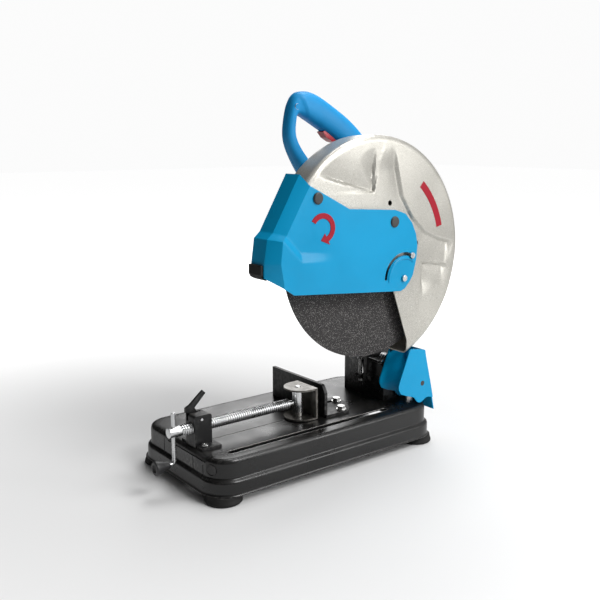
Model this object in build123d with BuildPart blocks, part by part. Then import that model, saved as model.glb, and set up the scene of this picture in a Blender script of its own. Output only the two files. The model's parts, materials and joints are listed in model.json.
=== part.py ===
from build123d import *
import os
from math import atan2, cos, degrees, hypot, pi, radians, sin

# Bench cut-off machine for a 355 mm abrasive wheel. Millimetres, Z up, the floor at z = 0.
# X runs from the vise crank to the head pivot, and +Y is the motor side.

os.makedirs("parts", exist_ok=True)

# ---- driving dimensions ----
wheel_radius = 177.5
wheel_thickness = 3.2
wheel_y = -88.0
wheel_x, wheel_z = 92.0, 351.0

base_length, base_width, base_corner = 449.0, 233.4, 37.6
base_top = 69.5
base_wall = 2.5
ledge_z, ledge_flare = 33.5, 5.8
foot_height, foot_radius = 14.0, 28.6
foot_x, foot_y = 202.0, 95.0
bench_hole = 4.25

pivot_x, pivot_z = 195.0, 132.0
pivot_radius = 8.0
ear_near, ear_far = -46.0, 43.0
ear_thickness = 8.0

guard_x, guard_z, guard_radius = 94.0, 344.5, 190.5
guard_near, guard_far = -106.0, -61.0
guard_wall = 2.2

cover_pivot_x, cover_pivot_z = 146.6, 301.8
cover_near, cover_far = -113.0, -61.5
cover_wall = 1.8
slot_radius, slot_start, slot_end = 40.5, 64.0, 180.0

motor_angle = -30.0
gear_module, gear_teeth, pinion_teeth = 1.6, 40, 10
motor_radius = 50.0
motor_start, motor_end = -10.0, 118.0

screw_y, screw_z, screw_radius = -29.5, 98.0, 9.0
fence_x, fence_thickness, fence_top = 23.0, 6.0, 125.5
jaw_face_x = 9.0
stop_x, stop_y, stop_top = 160.0, 4.0, 141.0
lock_x, lock_z = 156.0, 145.0

head_stroke = 40.0
running_gap = 0.05
handle_near, handle_far, handle_foot = -33.0, 1.0, 404.0

centre_distance = gear_module * (gear_teeth + pinion_teeth) / 2
motor_x = wheel_x + centre_distance * cos(radians(motor_angle))
motor_z = wheel_z + centre_distance * sin(radians(motor_angle))
guard_screw_places = [(wheel_x + dx, wheel_z + dz)
                      for dx, dz in ((-30, 14), (14, 30), (-14, -30), (62, -60))]
feet = [(sx * foot_x, sy * foot_y) for sx in (-1, 1) for sy in (-1, 1)]


def side(y):
    """Vertical plane at this y, with local x along X and local y along Z; -amount goes to +Y."""
    return Plane.XZ.offset(-y)


def across(x):
    """Vertical plane at this x, with local x along Y and local y along Z; +amount goes to +X."""
    return Plane.YZ.offset(x)


def level(z):
    """Horizontal plane at this height."""
    return Plane.XY.offset(z)


def finish(builder, name):
    """Label a finished piece and write it as its own file."""
    builder.part.label = name
    export_step(builder.part, f"parts/{name}.step")


def polar(x, z, radius, angle):
    """Point at this radius and angle from (x, z)."""
    return (x + radius * cos(radians(angle)), z + radius * sin(radians(angle)))


def turned_down(x, z, angle):
    """Where a head point at rest must be so that it reaches (x, z) once the head is down."""
    dx, dz = x - pivot_x, z - pivot_z
    c, s = cos(radians(angle)), sin(radians(angle))
    return (pivot_x + dx * c + dz * s, pivot_z - dx * s + dz * c)


# ---- base ----
with BuildPart() as base_shell:
    with BuildSketch(level(ledge_z - 2)):
        RectangleRounded(base_length, base_width, base_corner)
    extrude(amount=base_top - ledge_z + 2)
    with BuildSketch(level(foot_height)):
        RectangleRounded(base_length + 2 * ledge_flare, base_width + 2 * ledge_flare,
                         base_corner + ledge_flare)
    extrude(amount=ledge_z - foot_height)
    fillet(base_shell.edges().group_by(Axis.Z)[-1], 3)
    lip = ledge_flare + 2
    with BuildSketch(level(foot_height)):
        RectangleRounded(base_length + 2 * lip, base_width + 2 * lip, base_corner + lip)
    extrude(amount=1.5)
    with BuildSketch(level(foot_height)):
        RectangleRounded(base_length - 2 * base_wall, base_width - 2 * base_wall, base_corner - base_wall)
    extrude(amount=base_top - base_wall - foot_height, mode=Mode.SUBTRACT)
    inner = ledge_flare - base_wall
    with BuildSketch(level(foot_height)):
        RectangleRounded(base_length + 2 * inner, base_width + 2 * inner, base_corner + inner)
    extrude(amount=ledge_z - 5 - foot_height, mode=Mode.SUBTRACT)
    with BuildSketch(level(foot_height)):
        with Locations(*feet):
            Circle(32)
        RectangleRounded(base_length + 2 * inner, base_width + 2 * inner, base_corner + inner,
                         mode=Mode.INTERSECT)
    extrude(amount=3)
    with BuildSketch(level(foot_height)):
        with Locations(*feet):
            Circle(11.2)
    extrude(amount=3, mode=Mode.SUBTRACT)
    # the wheel slot, the vise guide groove and the step across the front edge
    with BuildSketch(level(base_top)):
        with Locations((-25.5, wheel_y - 0.5)):
            SlotOverall(325, 11)
    extrude(amount=-base_wall, mode=Mode.SUBTRACT)
    with BuildSketch(level(base_top)):
        with Locations((-93, -25)):
            Rectangle(166, 2.2)
    extrude(amount=-0.9, mode=Mode.SUBTRACT)
    with BuildSketch(across(-base_length / 2)):
        with Locations((-25, base_top - 7)):
            Rectangle(112, 4)
        with Locations((-46, 50)):
            Rectangle(1.6, 22)
        with Locations((-74.6, 44)):
            Rectangle(1.6, 22)
        with Locations((43.5, 50)):
            Rectangle(1.6, 22)
    extrude(amount=1.2, mode=Mode.SUBTRACT)
    corner_x, corner_y = base_length / 2 - base_corner, base_width / 2 - base_corner
    with BuildSketch(Plane(origin=(-corner_x - base_corner * cos(radians(22)),
                                   -corner_y - base_corner * sin(radians(22)), 52),
                           z_dir=(-cos(radians(22)), -sin(radians(22)), 0))):
        Circle(7.5)
        Circle(5, mode=Mode.SUBTRACT)
    extrude(amount=-1.0, mode=Mode.SUBTRACT)
    # bolt holes for the pivot bracket, the fence and the vise bracket
    with BuildSketch(level(base_top)):
        with Locations((174, -46), (174, 43), (214, -46), (214, 43), (-206, -52), (-196, -7)):
            Circle(3.2)
        with Locations((86, -14), (64, -53)):
            Circle(4.1)
    extrude(amount=-base_wall, mode=Mode.SUBTRACT)
finish(base_shell, "base_shell")

with BuildPart() as base_feet:
    for x, y in feet:
        with BuildSketch(Plane(origin=(x, y, 0), x_dir=(1, 0, 0), z_dir=(0, -1, 0))):
            with BuildLine():
                Polyline((bench_hole, 0), (foot_radius - 1.5, 0), (foot_radius, 1.5), (foot_radius, 3.5),
                         (foot_radius - 2.6, foot_height), (11.0, foot_height), (11.0, foot_height + 3.2),
                         (13, foot_height + 3.2), (11.5, foot_height + 7), (bench_hole, foot_height + 7),
                         close=True)
            make_face()
        revolve(axis=Axis((x, y, 0), (0, 0, 1)))
finish(base_feet, "base_feet")

# ---- pivot bracket, its shaft and the stops ----
bracket_front = 162.0
with BuildPart() as pivot_bracket:
    with BuildSketch(level(base_top)):
        with Locations(((bracket_front + 223) / 2, -1.5)):
            Rectangle(223 - bracket_front, 105)
    extrude(amount=6)
    for start in (ear_near - ear_thickness, ear_far):
        with BuildSketch(side(start)):
            with BuildLine():
                Polyline((bracket_front, base_top), (bracket_front, 134), (172, 150), (184, 157),
                         (206, 157),
                         (218, 148), (223, 132), (223, base_top), close=True)
            make_face()
            with Locations((pivot_x, pivot_z)):
                Circle(pivot_radius + running_gap, mode=Mode.SUBTRACT)
        extrude(amount=-ear_thickness)
    with BuildSketch(across(bracket_front)):
        with Locations((-1.5, (base_top + 136) / 2)):
            Rectangle(89, 136 - base_top)
        with Locations((stop_y, 122)):
            Rectangle(18, 30, mode=Mode.SUBTRACT)
    extrude(amount=5)
    # shelf for the depth stop, and the post that guides the lock pin
    with BuildSketch(level(100)):
        with Locations((159, stop_y)):
            Rectangle(16, 16)
    extrude(amount=6.5)
    with BuildSketch(across(150)):
        with Locations((-18, 126)):
            Rectangle(8, 52)
    extrude(amount=14)
    with Locations(Location((lock_x, -18, lock_z), (90, 0, 0))):
        Hole(2.5 + running_gap, depth=12)
    with BuildSketch(level(82)):
        with Locations((stop_x, stop_y)):
            Circle(4 + running_gap)
    extrude(amount=25, mode=Mode.SUBTRACT)
    with BuildSketch(level(base_top)):
        with Locations((174, -46), (174, 43), (214, -46), (214, 43)):
            Circle(3.2)
    extrude(amount=6, mode=Mode.SUBTRACT)
    with BuildSketch(level(base_top + 6)):
        with Locations((174, -46), (174, 43), (214, -46), (214, 43)):
            Circle(7.5)
    extrude(amount=9, mode=Mode.SUBTRACT)
finish(pivot_bracket, "pivot_bracket")

with BuildPart() as bracket_bolts:
    for x, y in ((174, -46), (174, 43), (214, -46), (214, 43)):
        with BuildSketch(level(base_top + 6)):
            with Locations((x, y)):
                RegularPolygon(5.5, 6)
        extrude(amount=5)
        with BuildSketch(level(base_top + 6)):
            with Locations((x, y)):
                Circle(3)
        extrude(amount=-14)
finish(bracket_bolts, "bracket_bolts")

with BuildPart() as pivot_shaft:
    with BuildSketch(side(ear_near - ear_thickness)):
        with Locations((pivot_x, pivot_z)):
            Circle(pivot_radius)
    extrude(amount=-(ear_far + ear_thickness + 6 - ear_near + ear_thickness))
    with BuildSketch(side(ear_far + ear_thickness + 1.4)):
        with Locations((pivot_x, pivot_z)):
            Circle(pivot_radius + 1)
            Circle(pivot_radius - 1, mode=Mode.SUBTRACT)
    extrude(amount=-1.3, mode=Mode.SUBTRACT)
finish(pivot_shaft, "pivot_shaft")

with BuildPart() as shaft_clip:
    with BuildSketch(side(ear_far + ear_thickness + 1.45)):
        with Locations((pivot_x, pivot_z)):
            Circle(12)
            Circle(pivot_radius - 0.9, mode=Mode.SUBTRACT)
        with Locations((pivot_x, pivot_z + 9)):
            Rectangle(7, 10, mode=Mode.SUBTRACT)
    extrude(amount=-1.2)
finish(shaft_clip, "shaft_clip")

with BuildPart() as stop_screw:
    with BuildSketch(level(94)):
        with Locations((stop_x, stop_y)):
            Circle(4)
    extrude(amount=stop_top - 5 - 94)
    with BuildSketch(level(stop_top - 5)):
        with Locations((stop_x, stop_y)):
            RegularPolygon(7.2, 6)
    extrude(amount=5)
finish(stop_screw, "stop_screw")

with BuildPart() as lock_pin:
    with BuildSketch(side(-57)):
        with Locations((lock_x, lock_z)):
            Circle(2.5)
    extrude(amount=-45)
    chamfer(lock_pin.edges().filter_by(GeomType.CIRCLE), 0.6)
finish(lock_pin, "lock_pin")

# ---- fence ----
pin_bolt = (64.0, -53.0)
slot_bolt = (86.0, -14.0)
swivel_radius = hypot(slot_bolt[0] - pin_bolt[0], slot_bolt[1] - pin_bolt[1])
swivel_angle = degrees(atan2(slot_bolt[1] - pin_bolt[1], slot_bolt[0] - pin_bolt[0]))
foot_plate = 5.0
with BuildPart() as fence:
    with BuildSketch(across(fence_x)):
        with BuildLine():
            Polyline((-58, base_top), (-58, 112), (-50, fence_top), (90, fence_top), (90, base_top),
                     close=True)
        make_face()
    extrude(amount=fence_thickness)
    fillet([e for e in fence.edges().filter_by(Axis.X) if e.center().Y < -45 and e.center().Z > 100], 8)
    with BuildSketch(level(base_top)):
        with BuildLine():
            Polyline((fence_x + 1, -62), (72, -64), (98, -30), (98, 4), (70, 16), (fence_x + 1, 16),
                     close=True)
        make_face()
    extrude(amount=foot_plate)
    with BuildSketch(level(base_top)):
        with Locations(pin_bolt):
            Circle(4.1)
        with BuildLine():
            CenterArc(pin_bolt, swivel_radius - 4.4, swivel_angle - 6, 57)
            CenterArc(pin_bolt, swivel_radius + 4.4, swivel_angle - 6, 57)
            Line(polar(*pin_bolt, swivel_radius - 4.4, swivel_angle - 6),
                 polar(*pin_bolt, swivel_radius + 4.4, swivel_angle - 6))
            Line(polar(*pin_bolt, swivel_radius - 4.4, swivel_angle + 51),
                 polar(*pin_bolt, swivel_radius + 4.4, swivel_angle + 51))
        make_face()
    extrude(amount=foot_plate, mode=Mode.SUBTRACT)
finish(fence, "fence")

with BuildPart() as fence_bolts:
    for x, y in (pin_bolt, slot_bolt):
        with BuildSketch(level(base_top + foot_plate)):
            with Locations((x, y)):
                Circle(8.5)
        extrude(amount=1.6)
        with BuildSketch(level(base_top + foot_plate + 1.6)):
            with Locations((x, y)):
                RegularPolygon(7, 6)
        extrude(amount=5.3)
        with BuildSketch(level(base_top + foot_plate)):
            with Locations((x, y)):
                Circle(4)
        extrude(amount=-15)
finish(fence_bolts, "fence_bolts")

# ---- vise ----
nut_front, nut_rear = -218.0, -188.0
nut_near, nut_back, nut_top = -43.0, -16.0, 119.0
with BuildPart() as vise_bracket:
    with BuildSketch(level(base_top)):
        with Locations(((nut_front + nut_rear) / 2, (nut_near + nut_back) / 2)):
            Rectangle(nut_rear - nut_front, nut_back - nut_near)
        with Locations((-199, -29.5)):
            Rectangle(34, 62)
        with Locations((-206, -52), (-196, -7)):
            Circle(3.2, mode=Mode.SUBTRACT)
    extrude(amount=3.5)
    with BuildSketch(side(nut_near)):
        with Locations(((nut_front + nut_rear) / 2, (base_top + nut_top) / 2)):
            Rectangle(nut_rear - nut_front, nut_top - base_top)
    extrude(amount=-(nut_back - nut_near))
    fillet([e for e in vise_bracket.edges().filter_by(Axis.Y) if e.center().Z > 110], 4)
    with BuildSketch(across(nut_front + 3)):
        with Locations((screw_y, 94)):
            Rectangle(nut_back - nut_near - 6, 44)
    extrude(amount=nut_rear - nut_front - 6, mode=Mode.SUBTRACT)
    with BuildSketch(across(nut_front - 1)):
        with Locations((screw_y, screw_z)):
            Circle(screw_radius + 0.5)
    extrude(amount=nut_rear - nut_front + 2, mode=Mode.SUBTRACT)
    # lever window in the front wall and the lever's pin holes
    with BuildSketch(across(nut_front - 1)):
        with Locations((-21, 118)):
            Rectangle(5, 22)
    extrude(amount=24, mode=Mode.SUBTRACT)
    with BuildSketch(side(nut_near - 1)):
        with Locations((-206, 113)):
            Circle(2.2)
    extrude(amount=-(nut_back - nut_near + 2), mode=Mode.SUBTRACT)
finish(vise_bracket, "vise_bracket")

with BuildPart() as vise_bolts:
    for x, y in ((-206, -52), (-196, -7)):
        with BuildSketch(level(base_top + 3.5)):
            with Locations((x, y)):
                Circle(5.5)
        extrude(amount=3.5)
        with BuildSketch(level(base_top + 3.5)):
            with Locations((x, y)):
                Circle(3)
        extrude(amount=-12)
        with BuildSketch(level(base_top + 7)):
            with Locations((x, y)):
                RegularPolygon(2.5, 6)
        extrude(amount=-2, mode=Mode.SUBTRACT)
finish(vise_bolts, "vise_bolts")

with BuildPart() as half_nut:
    with BuildSketch(across(nut_front + 6)):
        with Locations((screw_y, 87.5)):
            Rectangle(19, 17)
        with Locations((screw_y, screw_z)):
            Circle(screw_radius + running_gap, mode=Mode.SUBTRACT)
    extrude(amount=nut_rear - nut_front - 12)
finish(half_nut, "half_nut")

with BuildPart() as lever_pin:
    with BuildSketch(side(nut_near - 1.5)):
        with Locations((-206, 113)):
            Circle(2.1)
    extrude(amount=-(nut_back - nut_near + 3))
finish(lever_pin, "lever_pin")

with BuildPart() as release_lever:
    with BuildSketch(side(-23)):
        with BuildLine():
            Polyline((-212, 109.5), (-201, 109.5), (-200, 117), (-206, 126), (-186, 146), (-191, 151),
                     (-214, 132), (-222, 128), (-222, 121), (-212, 118), close=True)
        make_face()
        with Locations((-206, 113)):
            Circle(2.1 + running_gap, mode=Mode.SUBTRACT)
    extrude(amount=-4)
finish(release_lever, "release_lever")

crank_x = -247.0
with BuildPart() as vise_screw:
    with BuildSketch(across(-256)):
        with Locations((screw_y, screw_z)):
            Circle(8)
    extrude(amount=20)
    with BuildSketch(across(-236)):
        with Locations((screw_y, screw_z)):
            Circle(screw_radius)
    extrude(amount=204)
    with BuildSketch(across(-32)):
        with Locations((screw_y, screw_z)):
            Circle(4.5)
    extrude(amount=9)
    with BuildSketch(across(-26.8)):
        with Locations((screw_y, screw_z)):
            Circle(6.2)
    extrude(amount=2)
    with BuildSketch(level(screw_z - 12)):
        with Locations((crank_x, screw_y)):
            Circle(3.3)
    extrude(amount=24, mode=Mode.SUBTRACT)
finish(vise_screw, "vise_screw")

grip_z = 48.0
with BuildPart() as crank_rod:
    with BuildLine() as crank_path:
        FilletPolyline((crank_x, screw_y, 129), (crank_x, screw_y, grip_z), (-277, screw_y, grip_z),
                       radius=6)
    with BuildSketch(Plane(origin=(crank_x, screw_y, 129), z_dir=(0, 0, -1))):
        Circle(3.25)
    sweep()
finish(crank_rod, "crank_rod")

with BuildPart() as crank_grip:
    with BuildSketch(Plane(origin=(0, screw_y, 0), x_dir=(1, 0, 0), z_dir=(0, -1, 0))):
        with BuildLine():
            Polyline((-281, grip_z + 3.3), (-281, grip_z + 10.5), (-278.5, grip_z + 11), (-262, grip_z + 9),
                     (-255.5, grip_z + 5.5), (-255.5, grip_z + 3.3), close=True)
        make_face()
    revolve(axis=Axis((0, screw_y, grip_z), (1, 0, 0)))
finish(crank_grip, "crank_grip")

pin_x, pin_y = -12.0, screw_y
jaw_bottom, jaw_top = base_top + 1, 124.0
with BuildPart() as swivel_block:
    with BuildSketch(level(86)):
        with Locations((pin_x, pin_y)):
            Circle(9)
        with Locations((pin_x - 8, pin_y)):
            Rectangle(16, 16)
    extrude(amount=24)
    with BuildSketch(across(-34)):
        with Locations((screw_y, screw_z)):
            Circle(4.5 + running_gap)
    extrude(amount=11.2, mode=Mode.SUBTRACT)
    with BuildSketch(across(-27)):
        with Locations((screw_y, screw_z)):
            Circle(6.4)
    extrude(amount=2.4, mode=Mode.SUBTRACT)
    with BuildSketch(level(86)):
        with Locations((pin_x, pin_y)):
            Circle(5 + running_gap)
    extrude(amount=24, mode=Mode.SUBTRACT)
finish(swivel_block, "swivel_block")

with BuildPart() as jaw_pin:
    with BuildSketch(level(jaw_bottom + 0.3)):
        with Locations((pin_x, pin_y)):
            Circle(5)
    extrude(amount=jaw_top - jaw_bottom + 0.9)
finish(jaw_pin, "jaw_pin")

with BuildPart() as vise_jaw:
    plate_radius = 27.5
    for z in (jaw_bottom, jaw_top - 3):
        with BuildSketch(level(z)):
            with Locations((-7, pin_y)):
                Circle(plate_radius)
            with Locations((0.5, pin_y)):
                Rectangle(15, 2 * plate_radius)
            with Locations((jaw_face_x + 15, pin_y)):
                Rectangle(30, 3 * plate_radius, mode=Mode.SUBTRACT)
            with Locations((pin_x, pin_y)):
                Circle(5 + running_gap, mode=Mode.SUBTRACT)
        extrude(amount=3)
    with BuildSketch(across(jaw_face_x - 4)):
        with Locations((pin_y, (jaw_bottom + jaw_top) / 2)):
            Rectangle(2 * plate_radius, jaw_top - jaw_bottom)
    extrude(amount=4)
finish(vise_jaw, "vise_jaw")

# ---- head casting ----
pad_near = turned_down(stop_x + 9, stop_top + 0.6, head_stroke)
pad_far = turned_down(stop_x - 9, stop_top + 0.6, head_stroke)
lock_hole = turned_down(lock_x, lock_z, head_stroke)
arm_far = 34.0
housing_far = -14.0
with BuildPart() as head_casting:
    # pivot hub
    with BuildSketch(side(-12)):
        with Locations((pivot_x, pivot_z)):
            Circle(23)
    extrude(amount=-52)
    # lower arm, shaped to rest on the depth stop
    with BuildSketch(side(-10)):
        with BuildLine():
            Polyline((186, 150), pad_near, pad_far, (126, 232), (112, 262), (196, 262), (217, 200),
                     (217.5, 138),
                     close=True)
        make_face()
    extrude(amount=-(arm_far + 10))
    # waist that carries the arm across to the gear housing
    with BuildSketch(side(guard_far)):
        with BuildLine():
            Polyline((112, 226), (94, 270), (188, 270), (202, 226), close=True)
        make_face()
    extrude(amount=-(arm_far - guard_far))
    # gear housing
    with BuildSketch(side(guard_far)):
        with Locations((wheel_x, wheel_z)):
            Circle(45)
        with Locations((motor_x, motor_z)):
            Circle(52)
        with BuildLine():
            Polyline((94, 268), (60, 320), (92, 396), (150, 376), (178, 330), (188, 268), close=True)
        make_face()
    extrude(amount=-(housing_far - guard_far))
    # boss that the handle stands on
    with BuildSketch(side(-33)):
        with BuildLine():
            Polyline((68, 380), (152, 366), (152, handle_foot), (68, handle_foot), close=True)
        make_face()
    extrude(amount=-19)
    # gear chamber, open to the motor side
    with BuildSketch(side(guard_far + 14)):
        with Locations((wheel_x, wheel_z)):
            Circle(37)
        with Locations((motor_x, motor_z)):
            Circle(14)
    extrude(amount=-(housing_far - guard_far - 14), mode=Mode.SUBTRACT)
    # the spindle's bore and its bearing seat
    with BuildSketch(side(guard_far)):
        with Locations((wheel_x, wheel_z)):
            Circle(13)
    extrude(amount=-14, mode=Mode.SUBTRACT)
    with BuildSketch(side(guard_far + 2)):
        with Locations((wheel_x, wheel_z)):
            Circle(20)
    extrude(amount=-12, mode=Mode.SUBTRACT)
    # the armature's inner bearing seat
    with BuildSketch(side(guard_far + 4)):
        with Locations((motor_x, motor_z)):
            Circle(8)
    extrude(amount=-10, mode=Mode.SUBTRACT)
    with BuildSketch(side(guard_far)):
        with Locations(*guard_screw_places):
            Circle(2.5)
    extrude(amount=-10, mode=Mode.SUBTRACT)
    # relief pocket behind the arm, and the shaft's bore
    with BuildSketch(side(arm_far)):
        with BuildLine():
            Polyline((176, 172), (140, 234), (186, 250), (206, 196), (206, 166), close=True)
        make_face()
    extrude(amount=16, mode=Mode.SUBTRACT)
    with BuildSketch(side(-12)):
        with Locations((pivot_x, pivot_z)):
            Circle(pivot_radius + running_gap)
    extrude(amount=-52, mode=Mode.SUBTRACT)
    with BuildSketch(side(-10)):
        with Locations(lock_hole):
            Circle(2.9)
    extrude(amount=-14, mode=Mode.SUBTRACT)
finish(head_casting, "head_casting")

with BuildPart() as return_spring:
    coil_radius, coil_pitch, coil_turns = 13.0, 5.0, 5.2
    with BuildLine():
        coil = Helix(coil_pitch, coil_pitch * coil_turns, coil_radius, center=(pivot_x, -41.5, pivot_z),
                     direction=(0, 1, 0))
    with BuildSketch(Plane(origin=coil @ 0, z_dir=coil % 0)):
        Circle(1.7)
    sweep(path=coil, is_frenet=True)
finish(return_spring, "return_spring")

# ---- gear train ----
def gear_outline(x, z, teeth, thinning, turn):
    """Points of a gear's outline: straight-flanked teeth, thinned a little for backlash."""
    pitch_radius = gear_module * teeth / 2
    tip, root = pitch_radius + 0.85 * gear_module, pitch_radius - 1.1 * gear_module
    half_pitch = pi * gear_module / 4 - thinning
    points = []
    for tooth in range(teeth):
        centre = turn + 360 * tooth / teeth
        for radius, grow, flank in ((root, 0.46, -1), (tip, -0.36, -1), (tip, -0.36, 1), (root, 0.46, 1)):
            half = half_pitch + grow * gear_module * (1.1 if radius == root else 0.85)
            points.append(polar(x, z, radius, centre + flank * degrees(half / pitch_radius)))
    return points


with BuildPart() as driven_gear:
    with BuildSketch(side(-44)):
        with BuildLine():
            Polyline(*gear_outline(wheel_x, wheel_z, gear_teeth, 0.22, motor_angle), close=True)
        make_face()
        with Locations((wheel_x, wheel_z)):
            Circle(9, mode=Mode.SUBTRACT)
    extrude(amount=-10)
finish(driven_gear, "driven_gear")

with BuildPart() as spindle:
    for start, length, radius in ((-86.4 + 1, 28.4 - 1, 12.0), (-58, 12, 9.9), (-46, 24, 9.0)):
        with BuildSketch(side(start)):
            with Locations((wheel_x, wheel_z)):
                Circle(radius)
        extrude(amount=-length)
    with BuildSketch(side(-101)):
        with Locations((wheel_x, wheel_z)):
            Circle(8)
    extrude(amount=-18)
finish(spindle, "spindle")

with BuildPart() as spindle_bearings:
    for start, length, outer, bore in ((-57.9, 12, 20, 9.95), (-28, 10, 20, 9.05)):
        with BuildSketch(side(start)):
            with Locations((wheel_x, wheel_z)):
                Circle(outer - 0.02)
                Circle(bore, mode=Mode.SUBTRACT)
        extrude(amount=-length)
finish(spindle_bearings, "spindle_bearings")

with BuildPart() as inner_flange:
    with BuildSketch(side(wheel_y + wheel_thickness / 2)):
        with Locations((wheel_x, wheel_z)):
            Circle(28)
            Circle(12.05, mode=Mode.SUBTRACT)
    extrude(amount=-5)
finish(inner_flange, "inner_flange")

with BuildPart() as wheel:
    with BuildSketch(side(wheel_y - wheel_thickness / 2)):
        with Locations((wheel_x, wheel_z)):
            Circle(wheel_radius)
            Circle(12.7, mode=Mode.SUBTRACT)
    extrude(amount=-wheel_thickness)
finish(wheel, "cutting_wheel")

with BuildPart() as outer_flange:
    with BuildSketch(side(wheel_y - wheel_thickness / 2 - 5)):
        with Locations((wheel_x, wheel_z)):
            Circle(28)
            Circle(8.05, mode=Mode.SUBTRACT)
    extrude(amount=-5)
finish(outer_flange, "outer_flange")

with BuildPart() as spindle_nut:
    with BuildSketch(side(-102.6)):
        with Locations((wheel_x, wheel_z)):
            RegularPolygon(12, 6)
            Circle(8.05, mode=Mode.SUBTRACT)
    extrude(amount=-8)
finish(spindle_nut, "spindle_nut")

# ---- motor ----
with BuildPart() as bearing_plate:
    with BuildSketch(side(housing_far)):
        with Locations((wheel_x, wheel_z)):
            Circle(44)
        with Locations((motor_x, motor_z)):
            Circle(52)
    extrude(amount=-4)
    with BuildSketch(side(-28)):
        with Locations((wheel_x, wheel_z)):
            Circle(24)
    extrude(amount=-14)
    with BuildSketch(side(-28)):
        with Locations((wheel_x, wheel_z)):
            Circle(20)
    extrude(amount=-12, mode=Mode.SUBTRACT)
    with BuildSketch(side(housing_far)):
        with Locations((motor_x, motor_z)):
            Circle(16)
    extrude(amount=-4, mode=Mode.SUBTRACT)
finish(bearing_plate, "bearing_plate")

with BuildPart() as motor_housing:
    with BuildSketch(side(motor_start)):
        with Locations((motor_x, motor_z)):
            Circle(motor_radius)
            Circle(motor_radius - 3, mode=Mode.SUBTRACT)
    extrude(amount=-(motor_end - motor_start))
    # outlet vents round the fan
    for index in range(16):
        angle = 360 / 16 * index
        if 55 < angle < 125:
            continue
        with BuildSketch(Plane(origin=(motor_x, 6, motor_z), x_dir=(0, 1, 0),
                               z_dir=(cos(radians(angle)), 0, sin(radians(angle))))):
            SlotOverall(18, 4.5)
        extrude(amount=motor_radius + 2, mode=Mode.SUBTRACT)
finish(motor_housing, "motor_housing")

with BuildPart() as motor_end_cap:
    with BuildSketch(side(motor_end)):
        with Locations((motor_x, motor_z)):
            Circle(motor_radius)
    extrude(amount=-32)
    fillet(motor_end_cap.edges().sort_by(Axis.Y)[-1], 10)
    with BuildSketch(side(motor_end)):
        with Locations((motor_x, motor_z)):
            Circle(motor_radius - 3)
    extrude(amount=-26, mode=Mode.SUBTRACT)
    with BuildSketch(side(motor_end + 14)):
        with Locations((motor_x, motor_z)):
            Circle(13)
            Circle(9.02, mode=Mode.SUBTRACT)
    extrude(amount=-13)
    with BuildSketch(side(motor_end + 34)):
        for ring, count in ((24, 10), (36, 14)):
            for index in range(count):
                with Locations(polar(motor_x, motor_z, ring, 360 / count * index)):
                    Circle(3)
    extrude(amount=14, mode=Mode.SUBTRACT)
    for sign in (-1, 1):
        with BuildSketch(Plane(origin=(motor_x, motor_end + 8, motor_z), x_dir=(0, 1, 0),
                               z_dir=(sign, 0, 0))):
            Circle(7.5)
        extrude(amount=motor_radius + 2, mode=Mode.SUBTRACT)
finish(motor_end_cap, "motor_end_cap")

with BuildPart() as field_core:
    with BuildSketch(side(22)):
        with Locations((motor_x, motor_z)):
            Circle(motor_radius - 3.1)
            Circle(28, mode=Mode.SUBTRACT)
    extrude(amount=-58)
    with BuildSketch(side(22)):
        for sign in (-1, 1):
            with Locations((motor_x + sign * 33, motor_z)):
                Rectangle(12, 26)
    extrude(amount=-58, mode=Mode.SUBTRACT)
finish(field_core, "field_core")

with BuildPart() as armature_shaft:
    with BuildSketch(side(-56)):
        with Locations((motor_x, motor_z)):
            Circle(5)
    extrude(amount=-198)
finish(armature_shaft, "armature_shaft")

with BuildPart() as pinion:
    with BuildSketch(side(-44)):
        with BuildLine():
            facing = motor_angle + 180 + 180 / pinion_teeth
            Polyline(*gear_outline(motor_x, motor_z, pinion_teeth, 0.22, facing), close=True)
        make_face()
        with Locations((motor_x, motor_z)):
            Circle(5, mode=Mode.SUBTRACT)
    extrude(amount=-10)
finish(pinion, "pinion")

with BuildPart() as armature_core:
    with BuildSketch(side(24)):
        with Locations((motor_x, motor_z)):
            Circle(27)
            for index in range(12):
                with Locations(polar(motor_x, motor_z, 24, 30 * index)):
                    Circle(2.6, mode=Mode.SUBTRACT)
            Circle(5, mode=Mode.SUBTRACT)
    extrude(amount=-54)
finish(armature_core, "armature_core")

with BuildPart() as commutator:
    with BuildSketch(side(117)):
        with Locations((motor_x, motor_z)):
            Circle(14)
            Circle(5, mode=Mode.SUBTRACT)
            for index in range(12):
                with Locations(Location(polar(motor_x, motor_z, 14, 30 * index), 30 * index)):
                    Rectangle(1.6, 0.8, mode=Mode.SUBTRACT)
    extrude(amount=-14)
finish(commutator, "commutator")

with BuildPart() as cooling_fan:
    with BuildSketch(side(2)):
        with Locations((motor_x, motor_z)):
            Circle(42)
            Circle(5, mode=Mode.SUBTRACT)
    extrude(amount=-2)
    with BuildSketch(side(-6)):
        with Locations((motor_x, motor_z)):
            Circle(11)
            Circle(5, mode=Mode.SUBTRACT)
    extrude(amount=-8)
    with BuildSketch(side(-6)):
        for index in range(11):
            angle = 360 / 11 * index
            with Locations(Location(polar(motor_x, motor_z, 28, angle), angle + 14)):
                Rectangle(24, 1.6)
    extrude(amount=-8)
finish(cooling_fan, "cooling_fan")

with BuildPart() as armature_bearings:
    for start, length, outer, bore in ((-57, 10, 8, 5.05), (-14, 4, 16, 5.05), (133, 9, 9, 5.05)):
        with BuildSketch(side(start)):
            with Locations((motor_x, motor_z)):
                Circle(outer)
                Circle(bore, mode=Mode.SUBTRACT)
        extrude(amount=-length)
finish(armature_bearings, "armature_bearings")

brush_y = motor_end + 8
with BuildPart() as carbon_brushes:
    for sign in (-1, 1):
        with BuildSketch(Plane(origin=(motor_x + sign * 14.4, brush_y, motor_z), x_dir=(0, 1, 0),
                               z_dir=(sign, 0, 0))):
            Rectangle(6, 8)
        extrude(amount=22)
finish(carbon_brushes, "carbon_brushes")

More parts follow.
